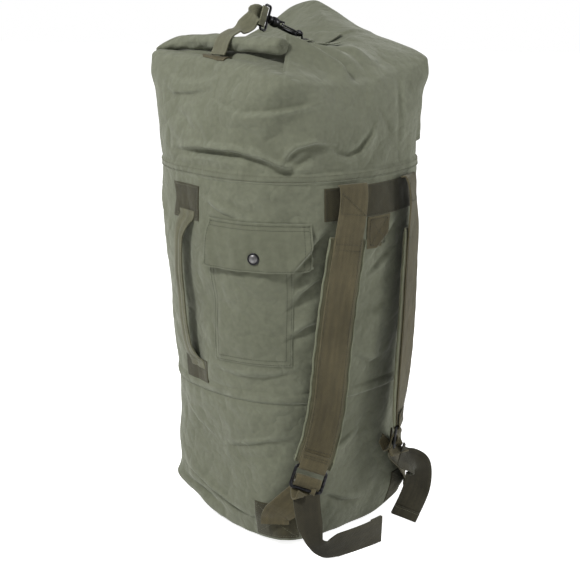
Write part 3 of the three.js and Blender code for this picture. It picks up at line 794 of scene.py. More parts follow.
def stitches(name, lines, face_of, finish, body, pitch=STITCH):
    """Rows of thread: each stitch is a small long bead that follows its line on the cloth."""
    shape = bmesh.new()
    shape.loops.layers.uv.new("cloth")
    shape.verts.layers.float.new("worn")
    count = 0
    for line in lines:
        line = np.asarray(line, float)
        run = distances(line)
        number = max(1, int(run[-1] / pitch))
        row = bmesh.new()
        for middle in (np.arange(number) + 0.5) * run[-1] / number:
            a, b = places_at([middle - pitch * 0.36, middle + pitch * 0.36], run, line)
            along = Vector(b - a).normalized()
            out = Vector(face_of((a + b) / 2))
            side = along.cross(out).normalized()
            turn = Matrix((along, side, side.cross(along))).transposed().to_4x4()
            size = Matrix.Diagonal((pitch * 0.42, BEAD_WIDE, BEAD_HIGH, 1))
            bmesh.ops.create_icosphere(row, subdivisions=1, radius=1.0,
                                       matrix=Matrix.Translation(Vector((a + b) / 2)) @ turn @ size)
        count += number
        pour(row, shape)
    piece = finished(name, shape, finish, body)
    print(name, "has", count, "stitches")
    return piece


def outward(point):
    """The direction straight out of the bag at a point."""
    return unit(np.array([point[0], point[1], 0.0]))


# %% [markdown]
# ## The folded top
# The rims of the four sides are folded in over the load. The flat sides' top edge is not level: it
# sags over the straps and stands high at the back corner. A thin-plate surface through a few heights
# gives the folded cloth between that edge and the mouth; sharp creases are laid over it as lines.
# The front corner's ear lies over the end of the rolled hem, so the cloth steps down there.

# %% Heights of the folded top
MOUTH = np.array([0.01632, -0.01541])
RIM_ANGLES = [-176, -168, -150, -123, -90, -77, -64, -32, 0, 11, 20, 40, 56, 78, 103, 148, 172]
RIM_HEIGHTS = [0.7135, 0.703, 0.675, 0.655, 0.650, 0.652, 0.650, 0.646, 0.641, 0.634, 0.632, 0.624, 0.625,
               0.633, 0.646, 0.677, 0.706]


def rim_height(angle):
    """Height of the wall's top edge, smooth all the way round."""
    table = np.arange(-180, 180)
    heights = np.interp(table, [*RIM_ANGLES, RIM_ANGLES[0] + 360], [*RIM_HEIGHTS, RIM_HEIGHTS[0]])
    weights = np.exp(-0.5 * (np.arange(-18, 19) / 2.5) ** 2)
    wrapped_round = np.concatenate([heights[-18:], heights, heights[:18]])
    smooth = np.convolve(wrapped_round, weights / weights.sum(), "valid")
    wrapped = (np.asarray(angle, float) + 180) % 360 - 180
    return np.interp(wrapped, np.append(table, 180), np.append(smooth, smooth[0]))


def thin_plate(places, heights):
    """A smooth surface through heights at places, as a function of x and y."""
    places = np.asarray(places, float) * 10
    heights = np.asarray(heights, float)

    def kernel(a, b):
        square = ((a[:, None] - b[None]) ** 2).sum(-1)
        return 0.5 * square * np.log(square + 1e-12)

    count = len(places)
    flat = np.hstack([np.ones((count, 1)), places])
    bending = kernel(places, places) + 2e-3 * np.eye(count)
    matrix = np.block([[bending, flat], [flat.T, np.zeros((3, 3))]])
    weights = np.linalg.solve(matrix, np.concatenate([heights, np.zeros(3)]))

    def surface(x, y):
        spots = np.stack([np.ravel(x), np.ravel(y)], -1) * 10
        bent = kernel(spots, places) @ weights[:count]
        tilted = np.hstack([np.ones((len(spots), 1)), spots]) @ weights[count:]
        return (bent + tilted).reshape(np.shape(x))

    return surface


def spot(angle, radius):
    turn = math.radians(angle)
    return [radius * math.sin(turn), -radius * math.cos(turn)]


rim_spots = [spot(a, float(reach(a, 0.64)) * 0.985) for a in range(-180, 180, 12)]
rim_levels = [float(rim_height(a)) for a in range(-180, 180, 12)]
# Heights inside the rim, as ((x, y), z) in metres: over the middle, on the ear, and tucked under it.
MIDDLE = [
    ((0.016, -0.015), 0.6535), ((0.045, -0.030), 0.655), ((0.035, 0.020), 0.658), ((-0.010, -0.035), 0.655),
    ((0.073, -0.050), 0.660), ((0.105, -0.060), 0.652), ((0.070, 0.050), 0.676), ((0.020, 0.090), 0.688),
    ((-0.040, 0.030), 0.658), ((-0.080, -0.020), 0.655), ((-0.060, 0.080), 0.664), ((0.110, 0.030), 0.664),
    ((0.000, 0.140), 0.702), ((-0.035, 0.120), 0.680),
]
EAR = [
    ((0.0235, -0.118), 0.672), ((0.043, -0.113), 0.663), ((0.068, -0.108), 0.649), ((0.099, -0.100), 0.634),
    ((0.045, -0.085), 0.664), ((0.070, -0.078), 0.658), ((0.035, -0.145), 0.646), ((0.060, -0.135), 0.636),
]
TUCK = [
    ((0.012, -0.128), 0.648), ((-0.030, -0.110), 0.6505), ((-0.075, -0.075), 0.6505),
    ((0.000, -0.085), 0.6525), ((0.030, -0.150), 0.640),
]
def top_surface(more):
    knots = MIDDLE + more
    return thin_plate(rim_spots + [place for place, _ in knots], rim_levels + [level for _, level in knots])


ear_side = top_surface(EAR)
tuck_side = top_surface(TUCK)

# Creases over the top, in the plan: kind, height and width in mm, and a line of (x, y) in mm.
TOP_CREASES = [
    ("tent", 13.0, 9, [(-10, -124), (8, -121), (26, -117), (46, -112), (70, -107), (99, -101), (124, -96)]),
    ("valley", 7.0, 6, [(2, -104), (24, -101), (46, -97), (70, -93), (94, -90), (112, -88)]),
    ("tent", 8.0, 7, [(40, -90), (64, -86), (86, -80), (104, -75), (130, -66)]),
    ("tent", 6.0, 7, [(84, -66), (104, -56), (134, -40)]),
    ("valley", 5.0, 6, [(64, -70), (90, -66), (112, -58)]),
    ("valley", 2.4, 8, [(46, -60), (74, -44), (100, -20)]),
    ("tent", 3.0, 10, [(50, -10), (84, 20), (118, 52)]),
    ("fold", 2.4, 8, [(60, 30), (88, 60), (92, 96)]),
    ("tent", 3.0, 10, [(40, 60), (20, 100), (-8, 156)]),
    ("valley", 2.6, 8, [(-20, 60), (-26, 100), (-34, 150)]),
    ("fold", 2.4, 8, [(-60, 40), (-92, 60), (-120, 96)]),
    ("tent", 2.6, 9, [(-60, -10), (-100, -4), (-144, -6)]),
    ("fold", 2.2, 8, [(-70, -50), (-104, -52), (-150, -44)]),
    ("valley", 2.0, 7, [(22, -158), (36, -160), (56, -150)]),
    ("valley", 5.0, 6, [(-140, -52), (-96, -78), (-62, -99), (-28, -120), (-4, -135)]),
]
LIP_ANGLE = 12.2


def top_height(x, y):
    """Height of the folded cloth over the plan."""
    shape = np.shape(x)
    x, y = np.ravel(x), np.ravel(y)
    angle = np.degrees(np.arctan2(x, -y))
    radius = np.hypot(x, y)
    under_ear = smooth_step(np.clip((angle - LIP_ANGLE + 0.5) / 1.0, 0, 1))
    # The lip reaches from the corner in to the roll's inner side; past it the two surfaces are one.
    reach_in = np.clip((radius - 0.085) / 0.03, 0, 1)
    left_fade = np.clip((angle + 75) / 25, 0, 1)
    ear, tuck = ear_side(x, y), tuck_side(x, y)
    share = np.where(angle > LIP_ANGLE + 100, 1.0, under_ear)
    share = np.where((angle < -50) | (angle > 112), 1 - left_fade * (angle < 0), share)
    blended = ear * share + tuck * (1 - share)
    total = ear + (blended - ear) * reach_in
    for kind, height, width, points in TOP_CREASES:
        crease = fold_height(x * 1000, y * 1000, kind, height, width, points) / 1000
        total = total + crease * (share if kind == "tent" else 1)
    spots = np.stack([x, y, 0 * x], -1)
    total += waves(spots, 15, 18, 0.04, 0.16, 0.0016) + creased(spots, 51, 0.045, 0.0016)
    return total.reshape(shape)


# %% [markdown]
# ## The four body panels
# Each panel is a grid round the bag, placed on the skin, welded at its back and then given a cloth's
# thickness inwards. The upper panel goes on over the rim and in to the mouth in the same grid, so that
# the top is one piece of cloth, as the real one is; its rows near the rim are evened out, because the
# cloth turns over the edge without a crease except at the corners.

# %% Body panels
AROUND = 320
CLOTH = 0.0012


def fold_wear_and_highlight(angle, z):
    """Cloth is paler where it stands out sharply, partly as wear and partly as a painted highlight on the fold
    ridges: the relief against its own smoothed self.
    """
    shifts = ((2.4, 0), (-2.4, 0), (0, 0.006), (0, -0.006))
    near = sum(relief(angle + turn, z + rise) for turn, rise in shifts) / len(shifts)
    return np.clip((relief(angle, z) - near) * 1300, 0, 0.8)


def ring_angle(u):
    """Angles round the bag, closer together at the ear's lip than elsewhere."""
    table = np.linspace(-180, 180, 721)
    density = 1 + 5 * np.exp(-((table - LIP_ANGLE) / 3) ** 2)
    share = np.concatenate([[0], np.cumsum((density[1:] + density[:-1]) / 2)])
    return np.interp(u, share / share[-1], table)


def wall_panel(name, bottom, top, rows, replaced):
    height = top - bottom

    def place(u, v):
        angle = ring_angle(u)
        z = bottom + v * height
        corner = np.clip(1 - z / 0.009, 0, 1)
        return skin(angle, z, -0.007 * (1 - np.sqrt(1 - corner ** 2 * 0.98)))

    # Paler at the seams from wear, and along the fold ridges partly from wear and partly as a painted highlight.
    def wear(u, v):
        seam = hump(v * height, 0.003) + hump((1 - v) * height, 0.003)
        return np.clip(fold_wear_and_highlight(ring_angle(u), bottom + v * height) + 0.5 * seam, 0, 1)

    shape = grid_shape(AROUND, rows, place, (0.98, height), ring=True, wear=wear)
    bmesh.ops.recalc_face_normals(shape, faces=shape.faces)
    sewn(name, shape, "canvas", "canvas", [replaced], "bag", CLOTH)


def face_up(shape, way=1):
    """Makes the faces of an open sheet point up, or down where way is -1."""
    bmesh.ops.recalc_face_normals(shape, faces=shape.faces)
    if way * sum(face.normal.z for face in shape.faces) < 0:
        bmesh.ops.reverse_faces(shape, faces=shape.faces)


def base_cloth():
    """The square bottom: flat where it stands, curved up at its edge to meet the wall."""
    def place(u, v):
        angle = ring_angle(u)
        rim = skin(angle, np.full(len(u), 0.0035), -0.0044)
        share = 1 - v
        lift = 0.0004 + 0.0031 * np.clip((share - 0.90) / 0.10, 0, 1) ** 2
        lift = lift + corner_lift(angle, np.zeros(len(u))) * np.clip((share - 0.62) / 0.38, 0, 1) ** 1.6
        return np.stack([rim[:, 0] * share, rim[:, 1] * share, lift], -1)

    shape = grid_shape(AROUND, 30, place, (0.98, 0.13), ring=True)
    face_up(shape, -1)
    sewn("base_cloth", shape, "canvas", "canvas", ["base_panel"], "bag", CLOTH)


def upper_cloth():
    wall_rows, top_rows = 74, 60
    rows = wall_rows + top_rows

    def place(u, v):
        row = np.rint(v * rows).astype(int)
        angle = ring_angle(u)
        ceiling = rim_height(angle) - 0.004
        on_wall = skin(angle, UPPER_SEAM + np.clip(row / wall_rows, 0, 1) * (ceiling - UPPER_SEAM))
        share = np.clip((row - wall_rows) / top_rows, 0, 1) ** 0.9 * 0.93
        edge = skin(angle, ceiling, -0.003)
        flat = edge[:, :2] * (1 - share)[:, None] + MOUTH * share[:, None]
        on_top = np.column_stack([flat, top_height(flat[:, 0], flat[:, 1])])
        points = np.where((row <= wall_rows)[:, None], on_wall, on_top)
        # Even out the rows about the rim: weights fall off over a few rows on both sides.
        order = np.lexsort((u, row))
        net = points[order].reshape(rows + 1, -1, 3)
        around = angle[order].reshape(rows + 1, -1)[0]
        crisp = sum(hump(away_from(around, corner), 7) for corner, _, _ in CORNERS)
        near = hump(np.arange(rows + 1) - wall_rows, 2.2)[:, None, None]
        near = near * (1 - 0.7 * crisp)[None, :, None]
        for _ in range(6):
            middle = net.copy()
            middle[1:-1] = (net[:-2] + 2 * net[1:-1] + net[2:]) / 4
            net = net + (middle - net) * near
        points[order] = net.reshape(-1, 3)
        return points

    # Paler along the fold ridges, in a band at the rim and in a thin line on the ear's lip: partly wear and
    # partly a painted highlight where these stand out; paler at the seam from wear.
    def wear(u, v):
        row = v * rows
        angle = ring_angle(u)
        z = UPPER_SEAM + np.clip(row / wall_rows, 0, 1) * 0.13
        wall = fold_wear_and_highlight(angle, z) * (row < wall_rows)
        rim = 0.15 * hump(row - wall_rows, 3.0)
        by_lip = (row > wall_rows - 4) * (row < wall_rows + 26)
        lip = 0.8 * hump(angle - LIP_ANGLE - 0.6, 0.5) * by_lip
        seam = 0.5 * hump(row, 1.2)
        return np.clip(wall + rim + lip + seam, 0, 1)

    shape = grid_shape(AROUND, rows, place, (0.98, 0.33), ring=True, wear=wear)
    bmesh.ops.recalc_face_normals(shape, faces=shape.faces)
    sewn("upper_cloth", shape, "canvas", "canvas", ["upper_panel"], "bag", CLOTH)


base_cloth()
wall_panel("lower_cloth", 0.0035, LOWER_SEAM + 0.001, 112, "lower_panel")
wall_panel("middle_cloth", LOWER_SEAM - 0.0002, UPPER_SEAM + 0.001, 150, "middle_panel")
upper_cloth()
for name in ("lower_cloth", "middle_cloth", "upper_cloth"):
    polygons = bpy.data.objects[name].data.polygons
    print(name, "has", sum(len(face.vertices) - 2 for face in polygons), "triangles")

# %% Seam stitches
seam_rows = []
for seam in (LOWER_SEAM, UPPER_SEAM):
    for above in (0.0022, 0.0085):
        angles = np.linspace(-180, 180, 1200)
        seam_rows.append(skin(angles, np.full(1200, seam + above), 0.0001))
stitches("seam_stitches", seam_rows, outward, "thread", "bag")

# %% [markdown]
# ## The rolled hem
# The front left rim is rolled down on itself and lies along the top's edge, a little flattened. It is
# a closed tube with a spiral line at each end, so it is swept along a gentle curve, with a few pinches
# where the closing strap draws it in.

# %% Rolled hem
def top_direction(x, y, z):
    """A direction in the top group, whose own -Y looks out over the rolled edge."""
    turn = math.radians(CLOSURE_FACE)
    return np.array([x * math.cos(turn) - y * math.sin(turn), x * math.sin(turn) + y * math.cos(turn), z])


def top_frame(x, y, z):
    """A point of the top group, given in millimetres."""
    return top_direction(x, y, z) / 1000


def rolled_hem():
    stops = [(-130, -122, 650), (-116, -115, 656), (-98, -108.5, 660.5), (-70, -105.5, 663.5),
             (-35, -104.5, 665.3), (0, -105, 665), (35, -104.5, 666), (70, -103.5, 666.6), (96, -101.5, 667)]
    line = [top_frame(*stop) for stop in stops]
    count, sides = 130, 40
    path, length = along_path(line, count + 1)
    tangent = unit(np.gradient(path, axis=0))
    up = np.array([0, 0, 1.0])
    across = unit(np.cross(tangent, up))
    rise = np.cross(across, tangent)

    def place(u, v):
        row = np.rint(v * count).astype(int)
        turn = u * 2 * np.pi
        along = v * length
        spiral = 1 - 0.05 * u
        size = np.interp(along, [0, 0.018, 0.040, 0.070, 0.3], [0.0055, 0.0082, 0.0100, 0.0110, 0.0117])
        radius = size * spiral * (1 + 0.03 * np.sin(along * 60 + 1.0))
        middle = np.abs(along - 0.139)
        radius = radius * (1 - 0.08 * hump(middle, 0.014, 4))
        pleat = hump(turn - 3.6 + 2.2 * v, 0.30) * np.clip(1 - v / 0.55, 0, 1)
        twist = 0.0006 * np.sin(3 * turn + along * 80) + 0.0003 * np.sin(5 * turn - along * 190)
        radius = radius + twist - 0.0004 - 0.0034 * pleat
        end = np.minimum(row, count - row)
        radius = radius * np.interp(end, [0, 1, 2], [0.90, 0.97, 1.0])
        return round_bar(path, across, rise, row, turn, radius, 0.97)

    def wear(u, v):
        return 0.05 + 0.15 * np.sin(v * 60) ** 2

    shape = grid_shape(sides, count, place, (0.072, length), wear=wear)
    # The roll's end shows its layers: the end faces go inwards in steps.
    bmesh.ops.remove_doubles(shape, verts=shape.verts, dist=0.0012)
    bmesh.ops.holes_fill(shape, edges=shape.edges, sides=sides + 4)
    ends = [face for face in shape.faces if len(face.verts) > 8]
    for depth in (-0.0012, 0.0008, -0.0012):
        bmesh.ops.inset_region(shape, faces=ends, thickness=0.0022, depth=depth)
    bmesh.ops.recalc_face_normals(shape, faces=shape.faces)
    return finished("rolled_hem_cloth", shape, "canvas", "bag", ["rolled_hem"])


rolled_hem()

# %% [markdown]
# ## The pocket
# The pocket is a flat piece of canvas sewn on three sides. It stands off the wall a little more towards
# its open top. Its flap is sewn above it in one piece with its seam allowance, so it is made as one
# cloth from the seam to the snap.

# %% Pocket panel
POCKET_ANGLES = (-23.3, 16.3)
POCKET_BOTTOM, POCKET_TOP = 0.257, 0.424
POCKET_WIDE, POCKET_HIGH = 0.112, 0.167
FLAP_ANGLES = (-23.8, 24.0)
FLAP_SEAM, FLAP_HINGE, FLAP_EDGE = 0.4490, 0.4445, 0.3880
SNAP_HEIGHT = 0.405


def lerp(a, b, t):
    return a + (b - a) * t


def pocket_out(u, z):
    """How far the pocket's outer face stands from the wall: sewn down at its sides and bottom."""
    edge = np.minimum(np.minimum(u, 1 - u) * POCKET_WIDE, z - POCKET_BOTTOM)
    body = 1 - np.exp(-np.clip(edge - 0.004, 0, None) / 0.016)
    open_top = np.clip((z - POCKET_BOTTOM) / 0.16, 0, 1)
    return 0.0024 + body * (0.0022 + 0.0042 * open_top ** 1.4)


def pocket_point(u, z, lift=0.0):
    return skin(lerp(*POCKET_ANGLES, u) + 0.25 * np.sin(z * 40), z, pocket_out(u, z) + lift)


def pocket_panel():
    def place(u, v):
        return pocket_point(u, lerp(POCKET_BOTTOM, POCKET_TOP, v))

    def wear(u, v):
        return hump(np.minimum(np.minimum(u, 1 - u) * POCKET_WIDE, v * POCKET_HIGH), 0.0016)

    shape = grid_shape(72, 100, place, (POCKET_WIDE, POCKET_HIGH), wear=wear)
    sewn("pocket_cloth", shape, "canvas", "canvas", ["pocket_panel"], "bag", 0.0018, round_edges=0.0003)
    lines = []
    for inset in (0.0020, 0.0078):
        z = np.linspace(POCKET_TOP, POCKET_BOTTOM + inset, 120)
        side = inset / POCKET_WIDE
        across = np.linspace(side, 1 - side, 120)
        lines += [pocket_point(np.full(120, u), z, 0.0001) for u in (side, 1 - side)]
        lines.append(pocket_point(across, np.full(120, POCKET_BOTTOM + inset), 0.0001))
    stitches("pocket_stitches", lines, outward, "dark_thread", "bag")


pocket_panel()

# %% Pocket flap
FLAP_FALL_HEIGHTS = [FLAP_EDGE, 0.395, 0.424, 0.436, FLAP_HINGE, FLAP_SEAM]
FLAP_FALL = [0.0136, 0.0130, 0.0114, 0.0080, 0.0032, 0.0030]
FLAP_WIDE, FLAP_HIGH = 0.14, 0.065


def flap_out(u, z):
    """The flap leaves the wall at its seam and hangs over the pocket. Its right corner curls out."""
    fall = np.interp(z, FLAP_FALL_HEIGHTS, FLAP_FALL)
    off_middle = np.abs(2 * u - 1)
    curl = 0.0034 * np.clip((off_middle - 0.7) / 0.3, 0, 1) ** 2 * np.clip((0.43 - z) / 0.04, 0, 1)
    ripple = 0.0007 * np.sin(u * 21 + 1) * np.clip((0.44 - z) / 0.05, 0, 1)
    return fall + curl * (u > 0.5) + ripple + 0.0005 * np.sin(u * 47 + z * 90)


def flap_point(u, v, lift=0.0):
    z = lerp(FLAP_EDGE, FLAP_SEAM, v)
    sag = -0.0016 * np.sin(np.pi * u) * (1 - v)
    corner = 0.0045 * (np.clip((np.abs(2 * u - 1) - 0.93) / 0.07, 0, 1) ** 2) * (v < 0.06)
    return skin(lerp(*FLAP_ANGLES, u), z + sag + corner, flap_out(u, z) + lift, seams=False)


def edge_wear(u, v, wide, high, width=0.0016):
    """Wear along the four edges of a sheet of this size."""
    return hump(np.minimum(np.minimum(u, 1 - u) * wide, np.minimum(v, 1 - v) * high), width)


def pocket_flap():
    shape = grid_shape(84, 44, flap_point, (FLAP_WIDE, FLAP_HIGH),
                       wear=lambda u, v: edge_wear(u, v, FLAP_WIDE, FLAP_HIGH))
    replaced = ["pocket_flap", "flap_seam_strip"]
    piece = sewn("pocket_flap_cloth", shape, "flap_canvas", "canvas", replaced, None, 0.0024, round_edges=0.0004)
    hinge = float(reach(0, FLAP_HINGE))
    across = np.linspace(0.02, 0.98, 160)
    down = np.linspace(0.03, 0.97, 90)
    lines = [flap_point(across, np.full(160, v), 0.0001) for v in (0.94, 0.855, 0.035)]
    lines += [flap_point(np.full(90, u), down, 0.0001) for u in (0.018, 0.982, 0.935)]
    thread = stitches("flap_stitches", lines, outward, "dark_thread", None)
    for part in (piece, thread):
        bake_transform(part)


pocket_flap()

# %% [markdown]
# ## The snap
# A turned part is drawn as half of its outline and spun round its axis. The cap shows outside the flap,
# and its stud faces it from the pocket.

# %% Snap
def spun_shape(outline, place, direction, steps=32):
    """An outline of (radius, height) in millimetres, spun round the direction from the place."""
    shape = bmesh.new()
    shape.verts.layers.float.new("worn")
    points = [shape.verts.new((radius / 1000, 0, height / 1000)) for radius, height in outline]
    for a, b in zip(points, points[1:]):
        shape.edges.new((a, b))
    bmesh.ops.spin(shape, geom=shape.verts[:] + shape.edges[:], axis=(0, 0, 1), cent=(0, 0, 0),
                   angle=2 * math.pi, steps=steps, use_merge=True)
    bmesh.ops.remove_doubles(shape, verts=shape.verts, dist=1e-6)
    turn = Vector((0, 0, 1)).rotation_difference(Vector(direction)).to_matrix().to_4x4()
    bmesh.ops.transform(shape, matrix=Matrix.Translation(Vector(place)) @ turn, verts=shape.verts)
    bmesh.ops.recalc_face_normals(shape, faces=shape.faces)
    return shape


SNAP_CAP_RING = [(0, 0.2), (7.6, 0.2), (8.0, 0.9), (7.4, 1.7), (6.2, 1.9), (5.9, 1.5), (0, 1.5)]
SNAP_CAP_DOME = [(0, 1.2), (5.8, 1.2), (5.7, 1.9), (4.6, 2.7), (2.4, 3.2), (0, 3.35)]
SNAP_STUD = [(0, 0.1), (5.2, 0.1), (5.4, 0.5), (3.0, 0.8), (2.2, 1.2), (2.6, 1.9), (1.8, 2.4), (0, 2.5)]
snap_share = (SNAP_HEIGHT - FLAP_EDGE) / (FLAP_SEAM - FLAP_EDGE)
snap_face = flap_point(np.array([0.5]), np.array([snap_share]))[0]
stud_face = pocket_point(np.array([0.588]), np.array([SNAP_HEIGHT]))[0]
stud_face[0] = 0.0
snap_out = (0.0, -1.0, 0.02)
ring = spun_shape(SNAP_CAP_RING, snap_face, snap_out, 40)
finished("snap_cap_ring", ring, "black_metal", "flap", ["snap_socket"])
dome = spun_shape(SNAP_CAP_DOME, snap_face, snap_out, 40)
finished("snap_cap_dome", dome, "grey_metal", "flap", ["snap_cap"])
stud = spun_shape(SNAP_STUD, stud_face, snap_out, 28)
finished("snap_stud_head", stud, "grey_metal", "bag", ["snap_stud", "snap_post"])
print("snap stands", round(-float(snap_face[1]), 4), "from the axis")

# %% [markdown]
# ## The carry handle
# The handle is webbing folded lengthwise. Its two ends open out flat, are sewn to dark patches, and
# stay there while the grip swings. So the webbing is made whole along one path and then cut at the two
# swing points: the grip goes on the handle's body, and the two ends are left on no body, shaped to run
# into the grip.

# %% Handle
PATCH_HALF = math.degrees(0.028 / 0.165)


def sewn_patch(name, angles, heights, finish, slot, replaced, lift=0.0022, columns=36, outline=None):
    """A flat piece sewn on the wall; outline(u, v, angle, z) may move its angle and height."""
    def place(u, v):
        angle, z = lerp(*angles, u), lerp(*heights, v)
        if outline:
            angle, z = outline(u, v, angle, z)
        return skin(angle, z, lift, seams=False)

    size = (math.radians(angles[1] - angles[0]) * 0.16, heights[1] - heights[0])
    shape = grid_shape(columns, 28, place, size, wear=lambda u, v: 0.9 * edge_wear(u, v, *size, 0.0018))
    sewn(name, shape, finish, slot, replaced, "bag", 0.0016, round_edges=0.0005)


def box_lines(angles, heights, inset_angle, inset_z, lift, cross=False):
    a0, a1 = angles[0] + inset_angle, angles[1] - inset_angle
    z0, z1 = heights[0] + inset_z, heights[1] - inset_z
    corners = [(a0, z0), (a1, z0), (a1, z1), (a0, z1), (a0, z0)]
    if cross:
        corners += [(a1, z1), (a0, z1), (a1, z0)]
    lines = []
    for (xa, za), (xb, zb) in zip(corners, corners[1:]):
        lines.append(skin(np.linspace(xa, xb, 30), np.linspace(za, zb, 30), lift, seams=False))
    return lines


def carry_handle():
    angles = (HANDLE_SIDE - PATCH_HALF, HANDLE_SIDE + PATCH_HALF)
    upper, lower = (0.440, 0.486), (0.211, 0.2465)
    sewn_patch("handle_patch_top", angles, upper, "dark_webbing", "dark_webbing", ["handle_patch_upper"])
    sewn_patch("handle_patch_bottom", angles, lower, "dark_webbing", "dark_webbing", ["handle_patch_lower"])
    across = np.array([math.cos(math.radians(HANDLE_SIDE)), math.sin(math.radians(HANDLE_SIDE)), 0])
    # Height in metres, and how far the grip's middle stands out there, in millimetres.
    track = [(0.452, 1.2), (0.445, 1.2), (0.440, 2.6), (0.436, 5.2), (0.429, 9.0), (0.417, 12.2),
             (0.400, 13.6), (0.375, 14.2), (0.343, 14.4), (0.311, 14.2), (0.286, 13.6), (0.269, 12.2),
             (0.257, 9.0), (0.250, 5.2), (0.246, 2.6), (0.241, 1.2), (0.234, 1.2)]
    stations = []
    for z, out in track:
        follow = 1 if z > 0.439 or z < 0.247 else 0.3
        stations.append((plain(HANDLE_SIDE, z, out / 1000 + float(relief(HANDLE_SIDE, z)) * follow), across))

    def width(share):
        end = min(share, 1 - share)
        return float(np.interp(end, [0, 0.04, 0.16, 0.30], [0.040, 0.037, 0.0195, 0.018]))

    def part(name, low, high, replaced, body):
        shape, _ = strap_shape(stations, width, count=110, columns=14, crown=0.0010, ripple=0.0008, seed=5,
                               wear=0.6, pleat=0.0013)
        for height, side in ((low, "clear_inner"), (high, "clear_outer")):
            everything = shape.verts[:] + shape.edges[:] + shape.faces[:]
            bmesh.ops.bisect_plane(shape, geom=everything, plane_co=(0, 0, height), plane_no=(0, 0, 1),
                                   **{side: True})
        return sewn(name, shape, "grip_webbing", "webbing", replaced, body, 0.0022, offset=0.0,
                    round_edges=0.0008)

    def at(z):
        return tuple(float(x) for x in plain(HANDLE_SIDE, z, 0.0084))

    part("handle_grip_webbing", 0.2565, 0.4295, ["handle_grip"], "handle")
    top = part("handle_end_top", 0.4293, 0.60, [], None)
    bottom = part("handle_end_bottom", 0.0, 0.2567, [], None)
    at(0.4415)
    at(0.4297)
    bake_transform(top)
    at(0.2445)
    at(0.2563)
    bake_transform(bottom)
    lines = [line for heights in (upper, lower) for line in box_lines(angles, heights, 0.9, 0.0026, 0.0023)]
    stitches("handle_stitches", lines, outward, "thread", "bag")
    tacks = [skin(np.linspace(HANDLE_SIDE - 7, HANDLE_SIDE + 7, 20), np.full(20, z), 0.0023, seams=False)
             for z in (0.4445, 0.4460, 0.2415, 0.2400)]
    stitches("handle_tacks", tacks, outward, "thread", "bag", 0.0022)


carry_handle()


# %% [markdown]
# ## The shoulder straps
# Both straps start from one band of dark webbing across the straps' side. Each runs down over its own
# pad, through a buckle with a sliding bar, and ends in a free tail. A second webbing comes up from the
# bag's base to the buckle. The stations are [angle, height, standing out, twist], in millimetres and
# degrees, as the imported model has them.

# %% Band and reinforcement
BAND_ANGLES, BAND_HEIGHTS = (29.5, 86), (0.450, 0.4925)
sewn_patch("strap_band", BAND_ANGLES, BAND_HEIGHTS, "dark_webbing", "dark_webbing", ["strap_anchor_band"],
           columns=70)


def slanted(u, v, angle, z):
    return angle - 4.5 * u * (1 - v), z


sewn_patch("strap_end_patch", (52, 66.5), (0.407, 0.4495), "webbing", "webbing", ["strap_reinforcement"],
           outline=slanted)
band_lines = box_lines(BAND_ANGLES, BAND_HEIGHTS, 0.9, 0.0024, 0.0023)
stitches("band_stitches", band_lines, outward, "dark_thread", "bag")
end_patch_lines = box_lines((53, 65), (0.409, 0.4475), 0.7, 0.002, 0.0023, True)
stitches("end_patch_stitches", end_patch_lines, outward, "dark_thread", "bag")

# %% Strap stations
FOLD_HEIGHT = 495
RUNS = {
    "left": [[42, FOLD_HEIGHT, 4.5, 0], [42, FOLD_HEIGHT + 1, 9.5, 0], [42, 487, 12.6, 0],
             [41.5, 466, 13.8, 0], [39.5, 428, 14, 0], [36, 352, 15, 0], [33.5, 275, 17, 0],
             [31.5, 204, 21, 0], [27.8, 150, 25, 0], [24.6, 124, 27, 0]],
    "right": [[78, FOLD_HEIGHT, 4.5, 0], [78, FOLD_HEIGHT + 1, 9.5, 4], [78, 487, 13, 8],
              [78, 466, 15, 12], [77.5, 428, 17, 4], [76.5, 352, 20, 2], [75.5, 290, 24, 2],
              [74.5, 235, 28, 4], [73.5, 182, 31, 12], [73, 157, 32, 20]],
}
TAILS = {
    "left": [[21.5, 88, 34, 0], [21.8, 70, 43, 0], [22.8, 46, 54, 0], [24.5, 28, 63, 14], [28, 19, 68, 50],
             [34, 20.5, 70, 66], [41, 21, 70, 69], [48, 21, 69, 71], [56, 21, 67, 73]],
    "right": [[71.5, 113, 43, 0], [73, 107, 44.6, 0], [76, 100, 47, 2], [80, 92, 49, -12], [82, 82, 51, -46],
              [82, 58, 52, -60], [80.5, 34, 51, -62], [79, 8, 50, -62]],
}
BASE_ANGLES = {"left": 8, "right": 100}
PAD_WIDTH, PAD_THICK = 0.052, 0.0072


def station(angle, z, out, twist):
    turn = math.radians(angle + twist)
    return plain(angle, z / 1000, out / 1000), np.array([math.cos(turn), math.sin(turn), 0])


def leaning(angle, z, out, twist):
    """The tail's width leans up instead, where the strap lies on its edge on the floor."""
    turn, lean = math.radians(angle), math.radians(twist)
    across = np.array([math.cos(turn) * math.cos(lean), math.sin(turn) * math.cos(lean), math.sin(lean)])
    return plain(angle, z / 1000, out / 1000), across
def tail_station(side):
    """The left tail lies on its edge on the floor; the right one hangs."""
    return leaning if side == "left" else station

def buckle_place(side):
    """The buckle's middle, and its directions across, up and out."""
    end, across = station(*RUNS[side][-1])
    before, _ = station(*RUNS[side][-2])
    down = unit(end - before)
    across = unit(across - across @ down * down)
    return end + down * 0.0176, across, -down, np.cross(across, -down)


for side in RUNS:
    print(side, "buckle at", [round(float(x), 4) for x in buckle_place(side)[0]])


